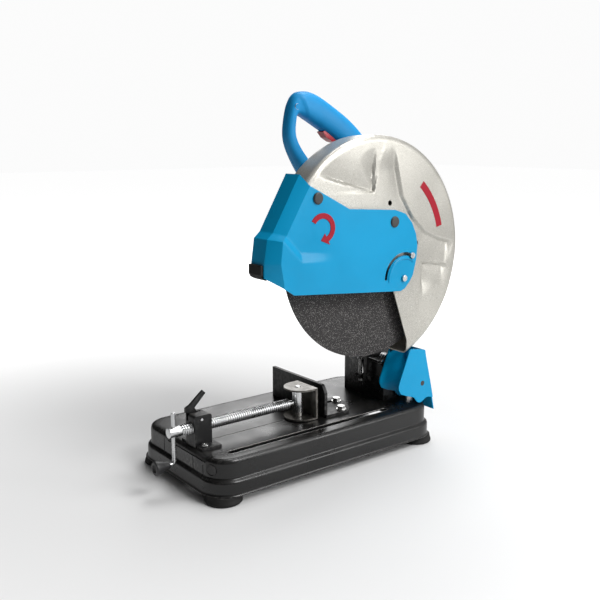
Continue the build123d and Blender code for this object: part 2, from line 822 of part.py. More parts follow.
with BuildPart() as brush_holders:
    for sign in (-1, 1):
        with BuildSketch(Plane(origin=(motor_x + sign * 20, brush_y, motor_z), x_dir=(0, 1, 0),
                               z_dir=(sign, 0, 0))):
            Rectangle(9.5, 12)
            Rectangle(6.1, 8.1, mode=Mode.SUBTRACT)
        extrude(amount=20)
finish(brush_holders, "brush_holders")

with BuildPart() as brush_caps:
    for sign in (-1, 1):
        with BuildSketch(Plane(origin=(motor_x + sign * 42, brush_y, motor_z), x_dir=(0, 1, 0),
                               z_dir=(sign, 0, 0))):
            Circle(7.4)
        extrude(amount=9.5)
        with BuildSketch(Plane(origin=(motor_x + sign * 51.5, brush_y, motor_z), x_dir=(0, 1, 0),
                               z_dir=(sign, 0, 0))):
            Rectangle(10, 1.4)
        extrude(amount=-1.2, mode=Mode.SUBTRACT)
finish(brush_caps, "brush_caps")

# ---- wheel guard ----
lock_screw = polar(cover_pivot_x, cover_pivot_z, slot_radius, 65.3)
with BuildPart() as blade_guard:
    with BuildSketch(side(guard_near)):
        with Locations((guard_x, guard_z)):
            Circle(guard_radius)
    extrude(amount=-(guard_far - guard_near))
    fillet(blade_guard.edges().sort_by(Axis.Y)[0], 9)
    fillet(blade_guard.edges().sort_by(Axis.Y)[-1], 3)
    for start, inset in ((guard_near + guard_wall, 6.5), (guard_near + 8, guard_wall)):
        with BuildSketch(side(start)):
            with Locations((guard_x, guard_z)):
                Circle(guard_radius - inset)
        extrude(amount=-(guard_far - guard_wall - start), mode=Mode.SUBTRACT)
    # the near wall is open round the arbor and in front of the wheel
    with BuildSketch(side(guard_near - 1)):
        with BuildLine():
            Polyline((-120, 402), (52, 402), (92, 380), (114, 330), (132, 277), (164.6, 191.2), (165, 100),
                     (-120, 100), close=True)
        make_face()
    extrude(amount=-24, mode=Mode.SUBTRACT)
    with BuildSketch(side(guard_near + 23)):
        with BuildLine():
            Polyline((-120, 345), (-60, 304), (108, 290), (132, 277), (164.6, 191.2), (165, 100),
                     (-120, 100),
                     close=True)
        make_face()
    extrude(amount=-24, mode=Mode.SUBTRACT)
    with BuildSketch(side(guard_near - 1)):
        with Locations((120, 426.8), (183.3, 357.1)):
            Circle(4.5)
        with Locations((cover_pivot_x, cover_pivot_z)):
            Circle(2.95)
        with Locations(lock_screw):
            Circle(2.25)
    extrude(amount=-5, mode=Mode.SUBTRACT)
    with BuildSketch(side(guard_far - 4)):
        with Locations((wheel_x, wheel_z)):
            Circle(14)
        with Locations(*guard_screw_places):
            Circle(2.5)
        with Locations((176, 187), (181, 199)):
            Circle(2)
    extrude(amount=-5, mode=Mode.SUBTRACT)
finish(blade_guard, "blade_guard")

with BuildPart() as guard_screws:
    for x, z in guard_screw_places:
        with BuildSketch(side(guard_far - guard_wall - 3.2)):
            with Locations((x, z)):
                Circle(4.2)
        extrude(amount=-3.2)
        with BuildSketch(side(guard_far - guard_wall)):
            with Locations((x, z)):
                Circle(2.4)
        extrude(amount=-10)
finish(guard_screws, "guard_screws")

# ---- swinging front cover ----
shared_edge = [(-82, 299.4), (140, 280.5), (150, 284), (161, 295), (168, 305), (175, 330), (177, 354),
               (173, 374),
               (163, 393), (147, 409), (124, 416), (25, 422.6)]
front_outer = [(-59.2, 477.3), (-108.5, 393.2), (-119, 384), (-124.5, 348), (-124.5, 327)]
crease_outer = [(-50, 460.5), (-92.5, 389.4), (-103, 381), (-106.5, 348), (-100, 311)]
beyond = [(200, 250), (200, 440), (25, 445)]
front_inner = [(-42.6, 502.2), (-106.7, 392.2), (-117.2, 383), (-122.7, 347.8), (-122.7, 290)]
crease_inner = [(-33.3, 485.4), (-90.8, 388.4), (-101.2, 380.2), (-104.7, 347.9), (-94.2, 286.8)]
shoulder_y = -95.0
plug_places = [(-35.5, 441.4), (122.8, 396.8)]
with BuildPart() as swing_cover:
    with BuildSketch(side(shoulder_y)):
        with BuildLine():
            Polyline(*front_outer, *shared_edge, close=True)
        make_face()
    extrude(amount=-(cover_far - shoulder_y))
    with BuildSketch(side(shoulder_y)):
        with BuildLine():
            Polyline(*front_outer, *shared_edge, close=True)
        make_face()
    with BuildSketch(side(cover_near)):
        with BuildLine():
            Polyline(*crease_outer, *shared_edge, close=True)
        make_face()
    loft(ruled=True)
    with BuildSketch(side(shoulder_y + 0.8)):
        with BuildLine():
            Polyline(*front_inner, *beyond, close=True)
        make_face()
    extrude(amount=-60, mode=Mode.SUBTRACT)
    with BuildSketch(side(shoulder_y + 0.8)):
        with BuildLine():
            Polyline(*front_inner, *beyond, close=True)
        make_face()
    with BuildSketch(side(cover_near + cover_wall)):
        with BuildLine():
            Polyline(*crease_inner, *beyond, close=True)
        make_face()
    loft(ruled=True, mode=Mode.SUBTRACT)
    # the arc slot, the pivot hole, the plug holes and the bumper's slots
    with BuildSketch(side(cover_near - 1)):
        with BuildLine():
            for radius in (slot_radius - 2.8, slot_radius + 2.8):
                CenterArc((cover_pivot_x, cover_pivot_z), radius, 61.2, 118.2)
            for angle in (61.2, 179.4):
                Line(polar(cover_pivot_x, cover_pivot_z, slot_radius - 2.8, angle),
                     polar(cover_pivot_x, cover_pivot_z, slot_radius + 2.8, angle))
        make_face()
        with Locations((cover_pivot_x, cover_pivot_z)):
            Circle(3)
        with Locations(*plug_places):
            Circle(6.1)
    extrude(amount=-5, mode=Mode.SUBTRACT)
finish(swing_cover, "swing_cover")

with BuildPart() as cover_plugs:
    for x, z in plug_places:
        with BuildSketch(side(cover_near - 1.4)):
            with Locations((x, z)):
                Circle(9.2)
        extrude(amount=-1.4)
        with BuildSketch(side(cover_near)):
            with Locations((x, z)):
                Circle(6)
        extrude(amount=-2.4)
finish(cover_plugs, "cover_plugs")

with BuildPart() as cover_bumper:
    with BuildSketch(side(shoulder_y + 2)):
        with BuildLine():
            Polyline((-124.5, 346), (-129.5, 346), (-130, 332), (-127, 327), (-119, 322.5), (-117.5, 324),
                     (-117.5, 335), (-122.6, 335), (-122.6, 325.6), (-124.6, 326.9), close=True)
        make_face()
    extrude(amount=-(cover_far - shoulder_y - 2))
finish(cover_bumper, "cover_bumper")

with BuildPart() as cover_pivot_screw:
    for start, length, radius in ((cover_near - 3.4, 3.3, 5.2), (cover_near - 0.2, 12, 2.9),
                                  (cover_near + cover_wall + 0.1,
                                   guard_near - cover_near - cover_wall - 0.1, 5.5)):
        with BuildSketch(side(start)):
            with Locations((cover_pivot_x, cover_pivot_z)):
                Circle(radius)
        extrude(amount=-length)
finish(cover_pivot_screw, "cover_pivot_screw")

with BuildPart() as cover_lock_screw:
    for start, length, radius in ((cover_near - 3.6, 3.4, 5.0), (cover_near - 0.3, 12, 2.2)):
        with BuildSketch(side(start)):
            with Locations(lock_screw):
                Circle(radius)
        extrude(amount=-length)
    with BuildSketch(side(guard_near + guard_wall)):
        with Locations(lock_screw):
            RegularPolygon(4.4, 6)
    extrude(amount=-3)
finish(cover_lock_screw, "cover_lock_screw")

# ---- spark deflector ----
deflector_outline = [(172, 174), (180, 176), (208, 168), (225, 106), (231, 82), (214, 80), (206, 75),
                     (199, 73),
                     (192, 76), (184, 86), (165, 92), (151, 98), (146, 108), (147, 116)]
with BuildPart() as spark_deflector:
    for start in (guard_near - guard_wall, guard_far):
        with BuildSketch(side(start)):
            with BuildLine():
                Polyline(*deflector_outline, close=True)
            make_face()
        extrude(amount=-guard_wall)
    with BuildSketch(side(guard_near - guard_wall)):
        with BuildLine():
            Polyline((208, 168), (236, 54), (233.9, 54), (205.9, 168), close=True)
        make_face()
    extrude(amount=-(guard_far - guard_near + 2 * guard_wall))
    with BuildSketch(side(guard_far)):
        with BuildLine():
            Polyline((168, 160), (171, 205), (186, 206), (196, 165), close=True)
        make_face()
    extrude(amount=-guard_wall)
    with BuildSketch(side(guard_near - 4)):
        with Locations((204.3, 107.8)):
            Circle(4.6)
    extrude(amount=-6, mode=Mode.SUBTRACT)
    with BuildSketch(side(guard_far - 1)):
        with Locations((176, 187), (181, 199)):
            Circle(2)
    extrude(amount=-4, mode=Mode.SUBTRACT)
finish(spark_deflector, "spark_deflector")

with BuildPart() as deflector_screws:
    for x, z in ((176, 187), (181, 199)):
        with BuildSketch(side(guard_far + guard_wall)):
            with Locations((x, z)):
                Circle(3.6)
        extrude(amount=-2.6)
        with BuildSketch(side(guard_far - guard_wall)):
            with Locations((x, z)):
                Circle(1.9)
        extrude(amount=-2 * guard_wall)
finish(deflector_screws, "deflector_screws")

# ---- handle, trigger and switch ----
handle_middle = (handle_near + handle_far) / 2
handle_outer = [(68, handle_foot), (62, 438), (24, 452), (-7, 487), (-26, 522), (-26, 556), (-15, 592),
                (2, 603),
                (30, 599), (71, 578), (105, 557), (134, 532), (156, 500), (163, 460), (152, handle_foot)]
handle_inner = [(13, 499), (-8, 530), (-9, 556), (-3, 566), (34, 547.5), (66, 529), (90, 508), (98, 490),
                (84, 474), (34, 470)]
grip_cavity = [(6, 588), (34, 584), (70, 565), (104, 543), (128, 518), (132, 500), (106, 502), (98, 520),
               (92, 528), (60, 544), (36, 560), (6, 576)]
trigger_window = [(38, 552), (40, 541), (52, 527), (66, 519), (98, 505), (102, 524), (92, 545), (62, 560)]
trigger_outline = [(44, 540), (52, 531), (64, 524.5), (78, 521.5), (92, 524), (94, 535), (82, 545),
                   (60, 546)]
trigger_pivot = (88.0, 532.0)
handle_screw_places = [(110, 440), (8, 478), (146, 512), (-11, 578)]
button_place = (52, 575)
inlet_z = 470.0


for name, start, end, outermost in (("handle_near_half", handle_near, handle_middle, 0),
                                    ("handle_far_half", handle_middle, handle_far, -1)):
    with BuildPart() as handle_half:
        with BuildSketch(side(start)) as handle_shape:
            with BuildLine():
                Polyline(*handle_outer, close=True)
            make_face()
            fillet([v for v in handle_shape.vertices() if v.Z > handle_foot + 1 or v.Y > handle_foot + 1],
                   9)
            with BuildLine():
                Polyline(*handle_inner, close=True)
            make_face(mode=Mode.SUBTRACT)
        extrude(amount=-(end - start))
        outer_face = handle_half.faces().sort_by(Axis.Y)[outermost]
        fillet(outer_face.outer_wire().edges(), 5)
        # hollow grip, trigger window, screws and the cord's inlet
        with BuildSketch(side(handle_middle - 11 if outermost == 0 else handle_middle)):
            with BuildLine():
                Polyline(*grip_cavity, close=True)
            make_face()
        extrude(amount=-11, mode=Mode.SUBTRACT)
        with BuildSketch(side(handle_middle - 9 if outermost == 0 else handle_middle)):
            with BuildLine():
                Polyline(*trigger_window, close=True)
            make_face()
        extrude(amount=-9, mode=Mode.SUBTRACT)
        with BuildSketch(side(handle_near)):
            with Locations(*handle_screw_places):
                Circle(2)
        extrude(amount=-29, mode=Mode.SUBTRACT)
        with BuildSketch(side(handle_near)):
            with Locations(*handle_screw_places):
                Circle(3.7)
        extrude(amount=-4, mode=Mode.SUBTRACT)
        with BuildSketch(across(146)):
            with Locations((handle_middle, inlet_z)):
                Circle(7)
        extrude(amount=30, mode=Mode.SUBTRACT)
        if outermost == -1:
            with BuildSketch(side(handle_middle)):
                with Locations(button_place):
                    Circle(6.1)
            extrude(amount=-20, mode=Mode.SUBTRACT)
    finish(handle_half, name)

with BuildPart() as handle_screws:
    for x, z in handle_screw_places:
        with BuildSketch(side(handle_near + 1)):
            with Locations((x, z)):
                Circle(3.5)
        extrude(amount=-3)
        with BuildSketch(side(handle_near + 4)):
            with Locations((x, z)):
                Circle(1.9)
        extrude(amount=-24)
finish(handle_screws, "handle_screws")

with BuildPart() as trigger:
    with BuildSketch(side(handle_middle - 8)):
        with BuildLine():
            Polyline(*trigger_outline, close=True)
        make_face()
        with Locations(trigger_pivot):
            Circle(1.6, mode=Mode.SUBTRACT)
    extrude(amount=-16)
finish(trigger, "trigger")

with BuildPart() as switch_body:
    with BuildSketch(side(handle_middle - 8)):
        with BuildLine():
            Polyline((70, 562), (104, 541), (97, 530), (96, 540), (84, 549), (70, 551), close=True)
        make_face()
    extrude(amount=-16)
finish(switch_body, "switch_body")

with BuildPart() as lock_button:
    with BuildSketch(side(handle_far - 10)):
        with Locations(button_place):
            Circle(6)
    extrude(amount=-15)
    fillet(lock_button.edges().sort_by(Axis.Y)[-1], 2)
finish(lock_button, "lock_button")

with BuildPart() as cord_inlet:
    with BuildSketch(across(150)):
        with Locations((handle_middle, inlet_z)):
            Circle(6.9)
            Circle(4, mode=Mode.SUBTRACT)
    extrude(amount=20)
    with BuildSketch(across(165)):
        with Locations((handle_middle, inlet_z)):
            Circle(9)
            Circle(4, mode=Mode.SUBTRACT)
    extrude(amount=5)
finish(cord_inlet, "cord_inlet")
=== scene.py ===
import json
from math import atan2, cos, exp, hypot, pi, radians, sin

import bmesh
import bpy
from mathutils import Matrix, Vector


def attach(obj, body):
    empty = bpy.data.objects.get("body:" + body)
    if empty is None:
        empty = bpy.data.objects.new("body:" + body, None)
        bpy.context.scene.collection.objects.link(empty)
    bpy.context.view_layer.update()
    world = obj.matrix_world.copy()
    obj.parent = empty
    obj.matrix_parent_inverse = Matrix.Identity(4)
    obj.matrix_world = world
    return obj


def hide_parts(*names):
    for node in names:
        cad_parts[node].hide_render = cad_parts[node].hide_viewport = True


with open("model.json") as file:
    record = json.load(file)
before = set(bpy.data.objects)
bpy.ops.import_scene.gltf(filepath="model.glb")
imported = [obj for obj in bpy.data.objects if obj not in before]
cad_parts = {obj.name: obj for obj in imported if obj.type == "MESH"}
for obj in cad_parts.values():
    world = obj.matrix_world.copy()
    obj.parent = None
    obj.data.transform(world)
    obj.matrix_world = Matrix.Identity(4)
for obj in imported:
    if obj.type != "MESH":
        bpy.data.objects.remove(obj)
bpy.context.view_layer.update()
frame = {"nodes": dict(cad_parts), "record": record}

# Bench cut-off machine. Metres, Z up; +X runs from the vise crank to the head pivot, +Y is the motor side.
MM = 0.001


# ---------------------------------------------------------------- node groups
def new_group(name, inputs, outputs):
    """An empty shader node group with these float or vector inputs and float outputs."""
    group = bpy.data.node_groups.new(name, "ShaderNodeTree")
    for label, value in inputs:
        kind = "NodeSocketVector" if value is None else "NodeSocketFloat"
        socket = group.interface.new_socket(label, in_out="INPUT", socket_type=kind)
        if value is not None:
            socket.default_value = value
    for label in outputs:
        group.interface.new_socket(label, in_out="OUTPUT", socket_type="NodeSocketFloat")
    return group, group.nodes.new("NodeGroupInput"), group.nodes.new("NodeGroupOutput")


def math_node(tree, operation, a, b=None, clamp=False):
    """A Math node; a and b are sockets or numbers."""
    node = tree.nodes.new("ShaderNodeMath")
    node.operation, node.use_clamp = operation, clamp
    for index, value in enumerate((a, b)):
        if value is None:
            continue
        if isinstance(value, (int, float)):
            node.inputs[index].default_value = value
        else:
            tree.links.new(value, node.inputs[index])
    return node.outputs[0]


def ramp(tree, value, low, high):
    """Value mapped so that low gives 0 and high gives 1, eased."""
    node = tree.nodes.new("ShaderNodeMapRange")
    node.interpolation_type = "SMOOTHSTEP"
    node.inputs["From Min"].default_value, node.inputs["From Max"].default_value = low, high
    tree.links.new(value, node.inputs["Value"])
    return node.outputs["Result"]


def make_grain_group():
    """Fine surface grain: a small texture's height and a broad, cloudy tone."""
    group, source, sink = new_group("fine_grain", [("Vector", None), ("Scale", 900.0), ("Cloud Scale", 14.0)],
                                    ["Height", "Cloud"])
    fine, cloud = group.nodes.new("ShaderNodeTexNoise"), group.nodes.new("ShaderNodeTexNoise")
    for noise, label, detail in ((fine, "Scale", 3.0), (cloud, "Cloud Scale", 4.0)):
        noise.inputs["Detail"].default_value = detail
        group.links.new(source.outputs["Vector"], noise.inputs["Vector"])
        group.links.new(source.outputs[label], noise.inputs["Scale"])
    group.links.new(fine.outputs["Fac"], sink.inputs["Height"])
    group.links.new(ramp(group, cloud.outputs["Fac"], 0.3, 0.7), sink.inputs["Cloud"])
    return group


def make_wear_group():
    """Wear on convex edges, broken up by noise."""
    group, source, sink = new_group("edge_wear", [("Vector", None), ("Amount", 0.5), ("Break Up", 160.0)], ["Mask"])
    noise = group.nodes.new("ShaderNodeTexNoise")
    noise.inputs["Detail"].default_value = 5.0
    group.links.new(source.outputs["Vector"], noise.inputs["Vector"])
    group.links.new(source.outputs["Break Up"], noise.inputs["Scale"])
    geometry = group.nodes.new("ShaderNodeNewGeometry")
    edge = ramp(group, geometry.outputs["Pointiness"], 0.52, 0.60)
    broken = math_node(group, "MULTIPLY", edge, ramp(group, noise.outputs["Fac"], 0.42, 0.62))
    worn = math_node(group, "MULTIPLY", broken, source.outputs["Amount"], clamp=True)
    group.links.new(worn, sink.inputs["Mask"])
    return group


def make_dust_group():
    """Dust that settles on faces turned upwards."""
    group, source, sink = new_group("settled_dust", [("Vector", None), ("Amount", 0.2)], ["Mask"])
    noise = group.nodes.new("ShaderNodeTexNoise")
    noise.inputs["Scale"].default_value, noise.inputs["Detail"].default_value = 60.0, 6.0
    group.links.new(source.outputs["Vector"], noise.inputs["Vector"])
    geometry, split = group.nodes.new("ShaderNodeNewGeometry"), group.nodes.new("ShaderNodeSeparateXYZ")
    group.links.new(geometry.outputs["Normal"], split.inputs[0])
    up = ramp(group, split.outputs["Z"], 0.3, 1.0)
    speck = math_node(group, "MULTIPLY", up, ramp(group, noise.outputs["Fac"], 0.4, 0.75))
    group.links.new(math_node(group, "MULTIPLY", speck, source.outputs["Amount"], clamp=True), sink.inputs["Mask"])
    return group


GRAIN, WEAR, DUST = make_grain_group(), make_wear_group(), make_dust_group()


# ---------------------------------------------------------------- materials
def place(tree, group, vector, **values):
    """A group node fed with object coordinates and these values."""
    node = tree.nodes.new("ShaderNodeGroup")
    node.node_tree = group
    tree.links.new(vector, node.inputs["Vector"])
    for label, value in values.items():
        node.inputs[label.replace("_", " ")].default_value = value
    return node


def mix_colour(tree, factor, a, b):
    """A colour mix; a and b are sockets or RGB triples."""
    node = tree.nodes.new("ShaderNodeMix")
    node.data_type = "RGBA"
    tree.links.new(factor, node.inputs["Factor"])
    for socket, value in ((node.inputs[6], a), (node.inputs[7], b)):
        if isinstance(value, tuple):
            socket.default_value = (*value, 1)
        else:
            tree.links.new(value, socket)
    return node.outputs[2]


def coating(name, colour, roughness, metallic=0.0, tone=0.12, grain=900.0, bump=0.08, depth=0.0002, cloud=14.0,
            wear=0.0, worn=(0.45, 0.45, 0.44), dust=0.0, coat=0.0, specular=0.5, rough_swing=0.08, extra=None):
    """A finish with grain, cloudy tone, worn edges and dust; extra(tree, vector, colour, height) may add to it."""
    material = bpy.data.materials.new(name)
    material.use_nodes = True
    tree = material.node_tree
    shader = tree.nodes["Principled BSDF"]
    vector = tree.nodes.new("ShaderNodeTexCoord").outputs["Object"]
    surface = place(tree, GRAIN, vector, Scale=grain, Cloud_Scale=cloud)
    darker = tuple(c * (1 - tone) for c in colour)
    lighter = tuple(min(1.0, c * (1 + tone)) for c in colour)
    tinted = mix_colour(tree, surface.outputs["Cloud"], darker, lighter)
    height = surface.outputs["Height"]
    if extra:
        tinted, height = extra(tree, vector, tinted, height)
    if dust:
        tinted = mix_colour(tree, place(tree, DUST, vector, Amount=dust).outputs["Mask"], tinted, (0.42, 0.40, 0.37))
    if wear:
        tinted = mix_colour(tree, place(tree, WEAR, vector, Amount=wear).outputs["Mask"], tinted, worn)
    tree.links.new(tinted, shader.inputs["Base Color"])
    swing = math_node(tree, "MULTIPLY_ADD", surface.outputs["Cloud"], 2 * rough_swing)
    swing.node.inputs[2].default_value = roughness - rough_swing
    tree.links.new(swing, shader.inputs["Roughness"])
    relief = tree.nodes.new("ShaderNodeBump")
    relief.inputs["Strength"].default_value, relief.inputs["Distance"].default_value = bump, depth
    tree.links.new(height, relief.inputs["Height"])
    tree.links.new(relief.outputs["Normal"], shader.inputs["Normal"])
    shader.inputs["Metallic"].default_value = metallic
    shader.inputs["Specular IOR Level"].default_value = specular
    shader.inputs["Coat Weight"].default_value = coat
    shader.inputs["Coat Roughness"].default_value = 0.18
    return material


def hammered(tree, vector, tinted, height):
    """Silver enamel: small rounded dimples and a fine two-tone speckle."""
    cells = tree.nodes.new("ShaderNodeTexVoronoi")
    cells.feature, cells.distance = "SMOOTH_F1", "EUCLIDEAN"
    cells.inputs["Scale"].default_value, cells.inputs["Smoothness"].default_value = 620.0, 0.8
    tree.links.new(vector, cells.inputs["Vector"])
    speck = tree.nodes.new("ShaderNodeTexNoise")
    speck.inputs["Scale"].default_value, speck.inputs["Detail"].default_value = 1300.0, 1.0
    tree.links.new(vector, speck.inputs["Vector"])
    dark = mix_colour(tree, ramp(tree, speck.outputs["Fac"], 0.50, 0.78), tinted, (0.27, 0.26, 0.23))
    light = mix_colour(tree, ramp(tree, speck.outputs["Fac"], 0.46, 0.26), dark, (0.70, 0.69, 0.65))
    both = math_node(tree, "ADD", math_node(tree, "MULTIPLY", cells.outputs["Distance"], 1.4), height)
    return light, both


def gritty(tree, vector, tinted, height):
    """Abrasive wheel: bright and dark grains set in a dark resin."""
    grains = tree.nodes.new("ShaderNodeTexVoronoi")
    grains.inputs["Scale"].default_value = 820.0
    tree.links.new(vector, grains.inputs["Vector"])
    split = tree.nodes.new("ShaderNodeSeparateColor")
    tree.links.new(grains.outputs["Color"], split.inputs[0])
    bright = math_node(tree, "GREATER_THAN", split.outputs[0], 0.62)
    core = ramp(tree, grains.outputs["Distance"], 0.42, 0.12)
    spark = math_node(tree, "MULTIPLY", bright, core)
    dull = math_node(tree, "MULTIPLY", math_node(tree, "LESS_THAN", split.outputs[1], 0.3), core)
    toned = mix_colour(tree, dull, tinted, (0.022, 0.02, 0.02))
    both = math_node(tree, "ADD", math_node(tree, "MULTIPLY", core, 1.2), height)
    return mix_colour(tree, spark, toned, (0.60, 0.58, 0.56)), both


def turned(tree, vector, tinted, height):
    """Machined steel: fine rings round the part's long axis show as a stretched noise."""
    mapping = tree.nodes.new("ShaderNodeMapping")
    mapping.inputs["Scale"].default_value = (1400, 60, 60)
    tree.links.new(vector, mapping.inputs["Vector"])
    noise = tree.nodes.new("ShaderNodeTexNoise")
    noise.inputs["Scale"].default_value, noise.inputs["Detail"].default_value = 1.0, 2.0
    tree.links.new(mapping.outputs["Vector"], noise.inputs["Vector"])
    streak = ramp(tree, noise.outputs["Fac"], 0.35, 0.65)
    fine = math_node(tree, "MULTIPLY", noise.outputs["Fac"], 0.25)
    return mix_colour(tree, streak, tinted, (0.66, 0.665, 0.67)), math_node(tree, "ADD", fine, height)


BLACK_ENAMEL = coating("black_enamel", (0.007, 0.0068, 0.0066), 0.30, tone=0.25, grain=700, bump=0.10, wear=0.55,
                       worn=(0.16, 0.155, 0.15), dust=0.02, specular=0.45, rough_swing=0.07)
BLACK_SHEET = coating("black_sheet", (0.006, 0.006, 0.0063), 0.45, tone=0.2, grain=900, bump=0.10, wear=0.35,
                      worn=(0.16, 0.155, 0.15), dust=0.02, specular=0.35)
BLACK_CASTING = coating("black_casting", (0.014, 0.014, 0.0145), 0.48, tone=0.2, grain=420, bump=0.35, depth=0.0005,
                        wear=0.3, worn=(0.2, 0.2, 0.2), dust=0.08)
BLACK_RUBBER = coating("black_rubber", (0.013, 0.0125, 0.0122), 0.72, tone=0.2, grain=500, bump=0.3, dust=0.10,
                       specular=0.3)
BLACK_MOULDING = coating("black_moulding", (0.02, 0.02, 0.021), 0.5, tone=0.15, grain=1200, bump=0.25, dust=0.05)
CAP_MOULDING = coating("cap_moulding", (0.035, 0.034, 0.034), 0.5, tone=0.12, grain=1200, bump=0.2)
BLUE_ENAMEL = coating("blue_enamel", (0.0, 0.29, 0.55), 0.34, tone=0.05, grain=260, bump=0.05, depth=0.0004,
                      cloud=9, dust=0.02, coat=0.08, specular=0.2, rough_swing=0.04)
BLUE_MOULDING = coating("blue_moulding", (0.01, 0.27, 0.60), 0.46, tone=0.06, grain=1500, bump=0.2, cloud=12,
                        specular=0.25, rough_swing=0.05)
RED_MOULDING = coating("red_moulding", (0.52, 0.012, 0.03), 0.38, tone=0.12, grain=1300, bump=0.12)
RED_PAINT = coating("red_paint", (0.34, 0.008, 0.022), 0.42, tone=0.08, grain=800, bump=0.1, specular=0.2)
SILVER_ENAMEL = coating("silver_enamel", (0.50, 0.485, 0.44), 0.38, metallic=0.6, tone=0.07, grain=900, bump=0.12,
                        depth=0.0003, cloud=8, wear=0.2, worn=(0.62, 0.61, 0.58), extra=hammered)
ABRASIVE = coating("abrasive_grit", (0.036, 0.034, 0.034), 0.8, tone=0.15, grain=1600, bump=0.7, depth=0.0006,
                   specular=0.3, extra=gritty)
ZINC = coating("zinc_plate", (0.60, 0.60, 0.59), 0.28, metallic=1.0, tone=0.12, grain=700, bump=0.08, cloud=60)
BRIGHT_STEEL = coating("bright_steel", (0.56, 0.565, 0.57), 0.27, metallic=1.0, tone=0.12, grain=800, bump=0.06,
                       cloud=40, extra=turned)
DARK_STEEL = coating("dark_steel", (0.13, 0.122, 0.11), 0.36, metallic=0.9, tone=0.25, grain=500, bump=0.18,
                     cloud=40, wear=0.8, worn=(0.5, 0.48, 0.45))
LAMINATED = coating("laminated_iron", (0.20, 0.20, 0.21), 0.5, metallic=0.8, tone=0.2, bump=0.2)
COPPER = coating("copper", (0.72, 0.36, 0.20), 0.3, metallic=1.0)
BRASS = coating("brass", (0.74, 0.56, 0.26), 0.3, metallic=1.0)
CARBON = coating("carbon", (0.03, 0.03, 0.03), 0.6, tone=0.2)

NODE_FINISH = {
    BLACK_ENAMEL: ["base_shell", "pivot_bracket"], BLACK_SHEET: ["fence", "vise_bracket", "release_lever"],
    BLACK_CASTING: ["head_casting", "bearing_plate"], BLACK_RUBBER: ["base_feet", "cover_bumper"],
    BLACK_MOULDING: ["motor_housing", "motor_end_cap", "crank_grip", "switch_body", "cord_inlet", "lock_button",
                     "cooling_fan", "brush_caps"],
    CAP_MOULDING: ["cover_plugs"], BLUE_ENAMEL: ["swing_cover", "spark_deflector"],
    BLUE_MOULDING: ["handle_near_half", "handle_far_half"], RED_MOULDING: ["trigger"],
    SILVER_ENAMEL: ["blade_guard"], ABRASIVE: ["cutting_wheel"],
    ZINC: ["bracket_bolts", "shaft_clip", "stop_screw", "fence_bolts", "vise_bolts", "guard_screws",
           "cover_pivot_screw", "cover_lock_screw", "deflector_screws", "handle_screws", "spindle_nut"],
    BRIGHT_STEEL: ["pivot_shaft", "lock_pin", "half_nut", "lever_pin", "vise_screw", "crank_rod", "swivel_block",
                   "jaw_pin", "spindle", "inner_flange", "outer_flange", "driven_gear", "armature_shaft", "pinion",
                   "spindle_bearings", "armature_bearings", "return_spring"],
    DARK_STEEL: ["vise_jaw"], LAMINATED: ["field_core", "armature_core"], COPPER: ["commutator"],
    BRASS: ["brush_holders"], CARBON: ["carbon_brushes"],
}
for finish, names in NODE_FINISH.items():
    for name in names:
        slots = frame["nodes"][name].data.materials
        slots.clear()
        slots.append(finish)
BODY_OF = {node: body for body, nodes in frame["record"]["behaviour"]["bodies"].items() for node in nodes}


# ---------------------------------------------------------------- modelling helpers
def at(x, y, z):
    """A point given in millimetres."""
    return Vector((x * MM, y * MM, z * MM))


def shade(mesh, angle=32):
    """Smooth shading with sharp edges kept above this angle."""
    mesh.polygons.foreach_set("use_smooth", [True] * len(mesh.polygons))
    mesh.set_sharp_from_angle(angle=radians(angle))


def piece(name, bm, finish, body, replaced=(), outward=True, angle=32):
    """A finished object from a bmesh: on its body, with its finish, standing for the CAD nodes it replaces."""
    bmesh.ops.remove_doubles(bm, verts=bm.verts, dist=1e-6)
    if outward:
        bmesh.ops.recalc_face_normals(bm, faces=bm.faces)
    mesh = bpy.data.meshes.new(name)
    bm.to_mesh(mesh)
    bm.free()
    shade(mesh, angle)
    mesh.materials.append(finish)
    made = bpy.data.objects.new(name, mesh)
    bpy.context.scene.collection.objects.link(made)
    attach(made, body)
    if replaced:
        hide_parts(*replaced)
    return made


def bevelled(made, width, segments=2, angle=30):
    """A live bevel on the sharper edges."""
    bevel = made.modifiers.new("soft_edges", "BEVEL")
    bevel.width, bevel.segments, bevel.limit_method, bevel.angle_limit = width * MM, segments, "ANGLE", radians(angle)
    bevel.harden_normals = True
    return made


def settle(made, angle=32):
    """Bakes the live modifiers into the mesh."""
    depsgraph = bpy.context.evaluated_depsgraph_get()
    mesh = bpy.data.meshes.new_from_object(made.evaluated_get(depsgraph))
    made.modifiers.clear()
    made.data = mesh
    shade(mesh, angle)
    return made


def carve(made, cutters):
    """Cuts these closed bmeshes out of the piece."""
    tools = []
    for bm in cutters:
        bmesh.ops.recalc_face_normals(bm, faces=bm.faces)
        mesh = bpy.data.meshes.new("cutter")
        bm.to_mesh(mesh)
        bm.free()
        tool = bpy.data.objects.new("cutter", mesh)
        bpy.context.scene.collection.objects.link(tool)
        cut = made.modifiers.new("cut", "BOOLEAN")
        cut.object, cut.operation, cut.solver = tool, "DIFFERENCE", "MANIFOLD"
        tools.append(tool)
    settle(made)
    for tool in tools:
        bpy.data.objects.remove(tool)
    return made


def outline_face(bm, points, to_point, rounding=0.0, segments=5):
    """One face through these points, with its corners rounded."""
    verts = [bm.verts.new(to_point(*p)) for p in points]
    face = bm.faces.new(verts)
    if rounding:
        bmesh.ops.bevel(bm, geom=verts, offset=rounding * MM, offset_type="OFFSET", segments=segments, profile=0.5,
                        affect="VERTICES", material=-1)
        bm.faces.ensure_lookup_table()
        face = bm.faces[-1]
    return face


